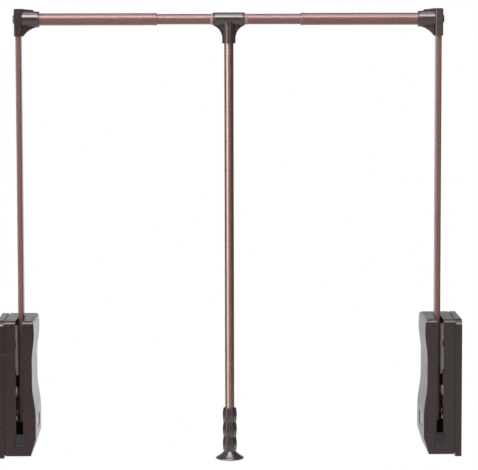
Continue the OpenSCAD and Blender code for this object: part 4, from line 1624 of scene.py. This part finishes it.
@dataclass
class Studio:
    """Camera, lamps, pale floor and white surroundings."""

    camera_place: Triple = (0.3849, -3.57, 0.7)
    yaw: float = 0.834
    pitch: float = -4.33
    roll: float = -0.12
    focal: float = 1969.4
    shift: float = -0.12
    picture: tuple[int, int] = (478, 470)
    floor_z: float = -1.0
    floor_glow: float = 0.6
    ambient: float = 0.3
    dim: Pair = (0.2, 0.08)
    ahead: float = 0.5
    behind: Pair = (0.72, 0.93)
    above: float = 0.25
    near_glow: float = 0.12
    top_panel: Panel = Panel((35.0, 64.0), 8.0, 11.5)
    left_panel: Panel = Panel((28.0, 62.0), 9.0, 4.2)
    low_front: Pair = (0.0, 0.5)
    zenith: float = 3.2
    fading: float = 0.55
    right_ahead: float = 0.8
    sides: Pair = (0.85, 1.15)
    lamps: list[Lamp] = field(
        default_factory=lambda: [
            Lamp("overhead", (0.3, -1.1, 3.2), (3.4, 2.2), 58.0),
            Lamp("front", (0.38, -3.4, 0.8), (1.0, 0.8), 40.0),
            Lamp("left_front", (-2.3, -1.7, 0.8), (1.6, 2.2), 34.0),
        ]
    )

    def camera(self) -> None:
        """Sets the camera to the viewing angle."""
        lens = bpy.data.cameras.new("camera")
        lens.sensor_fit = "HORIZONTAL"
        lens.sensor_width = 36.0
        lens.lens = self.focal / self.picture[0] * lens.sensor_width
        lens.shift_y = self.shift
        lens.clip_end = 100.0
        camera = bpy.data.objects.new("camera", lens)
        bpy.context.scene.collection.objects.link(camera)
        yaw, pitch, roll = (math.radians(value) for value in (self.yaw, self.pitch, self.roll))
        ahead = Vector((math.sin(yaw) * math.cos(pitch), math.cos(yaw) * math.cos(pitch), math.sin(pitch)))
        level = Vector((math.cos(yaw), -math.sin(yaw), 0.0))
        upright = level.cross(ahead)
        right = level * math.cos(roll) + upright * math.sin(roll)
        up = upright * math.cos(roll) - level * math.sin(roll)
        camera.location = self.camera_place
        camera.rotation_euler = Matrix((right, up, -ahead)).transposed().to_euler()
        bpy.context.scene.camera = camera

    def floor(self) -> None:
        """Lays the pale floor, which keeps the rod's shadow."""
        bpy.ops.object.select_all(action="DESELECT")
        bpy.ops.mesh.primitive_plane_add(size=7.0, location=(0.42, 0.0, self.floor_z))
        floor = settle()
        floor.name = "floor"
        floor.data.name = floor.name
        material = bpy.data.materials.new("pale_floor")
        graph = Graph(material)
        paint = graph.nodes["Principled BSDF"]
        paint.inputs["Base Color"].default_value = (0.8, 0.8, 0.8, 1.0)
        paint.inputs["Roughness"].default_value = 0.9
        glow = graph.nodes.new("ShaderNodeEmission")
        parts = graph.nodes.new("ShaderNodeSeparateXYZ")
        graph.links.new(graph.nodes.new("ShaderNodeTexCoord").outputs["Object"], parts.inputs["Vector"])
        share = graph.soft(parts.outputs["Y"], (-0.6, 1.2), (self.near_glow, 1.0))
        share = graph.math("MAXIMUM", share, graph.nodes.new("ShaderNodeLightPath").outputs["Is Camera Ray"])
        share = graph.times(share, self.floor_glow)
        graph.feed(glow.inputs["Strength"], graph.times(graph.seen(), share))
        shaders = (paint.outputs["BSDF"], glow.outputs["Emission"])
        graph.shown("ShaderNodeAddShader", *shaders, "Material Output")
        floor.data.materials.append(material)

    def window(self, graph: Graph, angle: Socket, along: Socket, panel: Panel) -> Socket:
        """The strength of a long soft panel at an angle.

        Args:
            graph: The world's nodes.
            angle: The angle across it, in radians.
            along: The way along it, from -1 to 1.
            panel: The panel.

        Returns:
            The strength.
        """
        low, high = (math.radians(end) for end in panel.angles)
        soft = math.radians(panel.soft)
        rise = graph.soft(angle, (low - soft, low + soft), (0.0, panel.strength))
        fall = graph.soft(angle, (high - soft, high + soft), (1.0, 0.0))
        ends = graph.soft(graph.math("ABSOLUTE", along), panel.reach, (1.0, 0.0))
        return graph.times(graph.times(rise, fall), ends)

    def light(self, graph: Graph) -> Socket:
        """How bright the surroundings are in each direction.

        Args:
            graph: The world's nodes.

        Returns:
            The strength.
        """
        parts = graph.nodes.new("ShaderNodeSeparateXYZ")
        graph.links.new(graph.nodes.new("ShaderNodeTexCoord").outputs["Generated"], parts.inputs["Vector"])
        right, back, up = parts.outputs
        front = graph.times(back, -1.0)
        left = graph.times(right, -1.0)
        total = graph.soft(right, (-0.8, 0.6), self.dim)
        total = graph.times(total, graph.soft(front, (0.5, 0.95), (1.0, self.ahead)))
        bright = graph.times(graph.soft(back, self.behind), graph.soft(up, (0.0, 0.32), (1.0, self.above)))
        lean = graph.times(right, graph.ranged(up, (-0.05, 0.08), (1.0, -1.0)))
        bright = graph.times(bright, graph.soft(lean, (-0.15, 0.15), self.sides))
        total = graph.math("MAXIMUM", total, bright)
        over = self.window(graph, graph.math("ARCTAN2", up, front), right, self.top_panel)
        beside = self.window(graph, graph.math("ARCTAN2", left, front), up, self.left_panel)
        spread = graph.soft(graph.math("ABSOLUTE", right), (0.08, 0.36), (self.zenith, 0.0))
        beyond = graph.soft(right, (0.02, 0.12), (0.0, self.right_ahead))
        for glow in (
            graph.times(over, graph.soft(right, (0.0, 0.16), (1.0, self.fading))),
            beside,
            graph.times(graph.soft(front, (0.85, 0.97)), graph.soft(up, (-0.14, -0.24), self.low_front)),
            graph.times(graph.soft(up, (0.93, 0.995)), spread),
            graph.times(graph.soft(front, (0.93, 0.98)), beyond),
        ):
            total = graph.plus(total, glow)
        return total

    def world(self) -> None:
        """White behind the rod, a dim studio before it, and two long soft panels that glosses show."""
        world = bpy.data.worlds.new("surroundings")
        bpy.context.scene.world = world
        graph = Graph(world)
        plain = graph.nodes["Background"]
        white = graph.nodes.new("ShaderNodeBackground")
        for sky in (plain, white):
            sky.inputs["Color"].default_value = (1.0, 1.0, 1.0, 1.0)
        plain.inputs["Strength"].default_value = self.ambient
        camera = graph.nodes.new("ShaderNodeLightPath").outputs["Is Camera Ray"]
        unseen = graph.math("SUBTRACT", 1.0, camera)
        strength = graph.plus(camera, graph.times(unseen, self.light(graph)))
        graph.links.new(strength, white.inputs["Strength"])
        skies = (plain.outputs["Background"], white.outputs["Background"])
        both = graph.shown("ShaderNodeMixShader", *skies, "World Output")
        graph.links.new(graph.seen(), both.inputs["Fac"])

    def build(self) -> None:
        """Sets the studio up."""
        bpy.context.scene.view_settings.view_transform = "Standard"
        self.camera()
        self.floor()
        self.world()
        for lamp in self.lamps:
            lamp.build()


def main() -> None:
    """Builds the studio and the rod, piece by piece."""
    logging.basicConfig(level=logging.INFO, format="%(message)s")
    Studio().build()
    SideCase().build()
    SideArm().build()
    CentreRail().build()
    PullHandle().build()
    Inside().build()


if __name__ == "__main__":
    main()
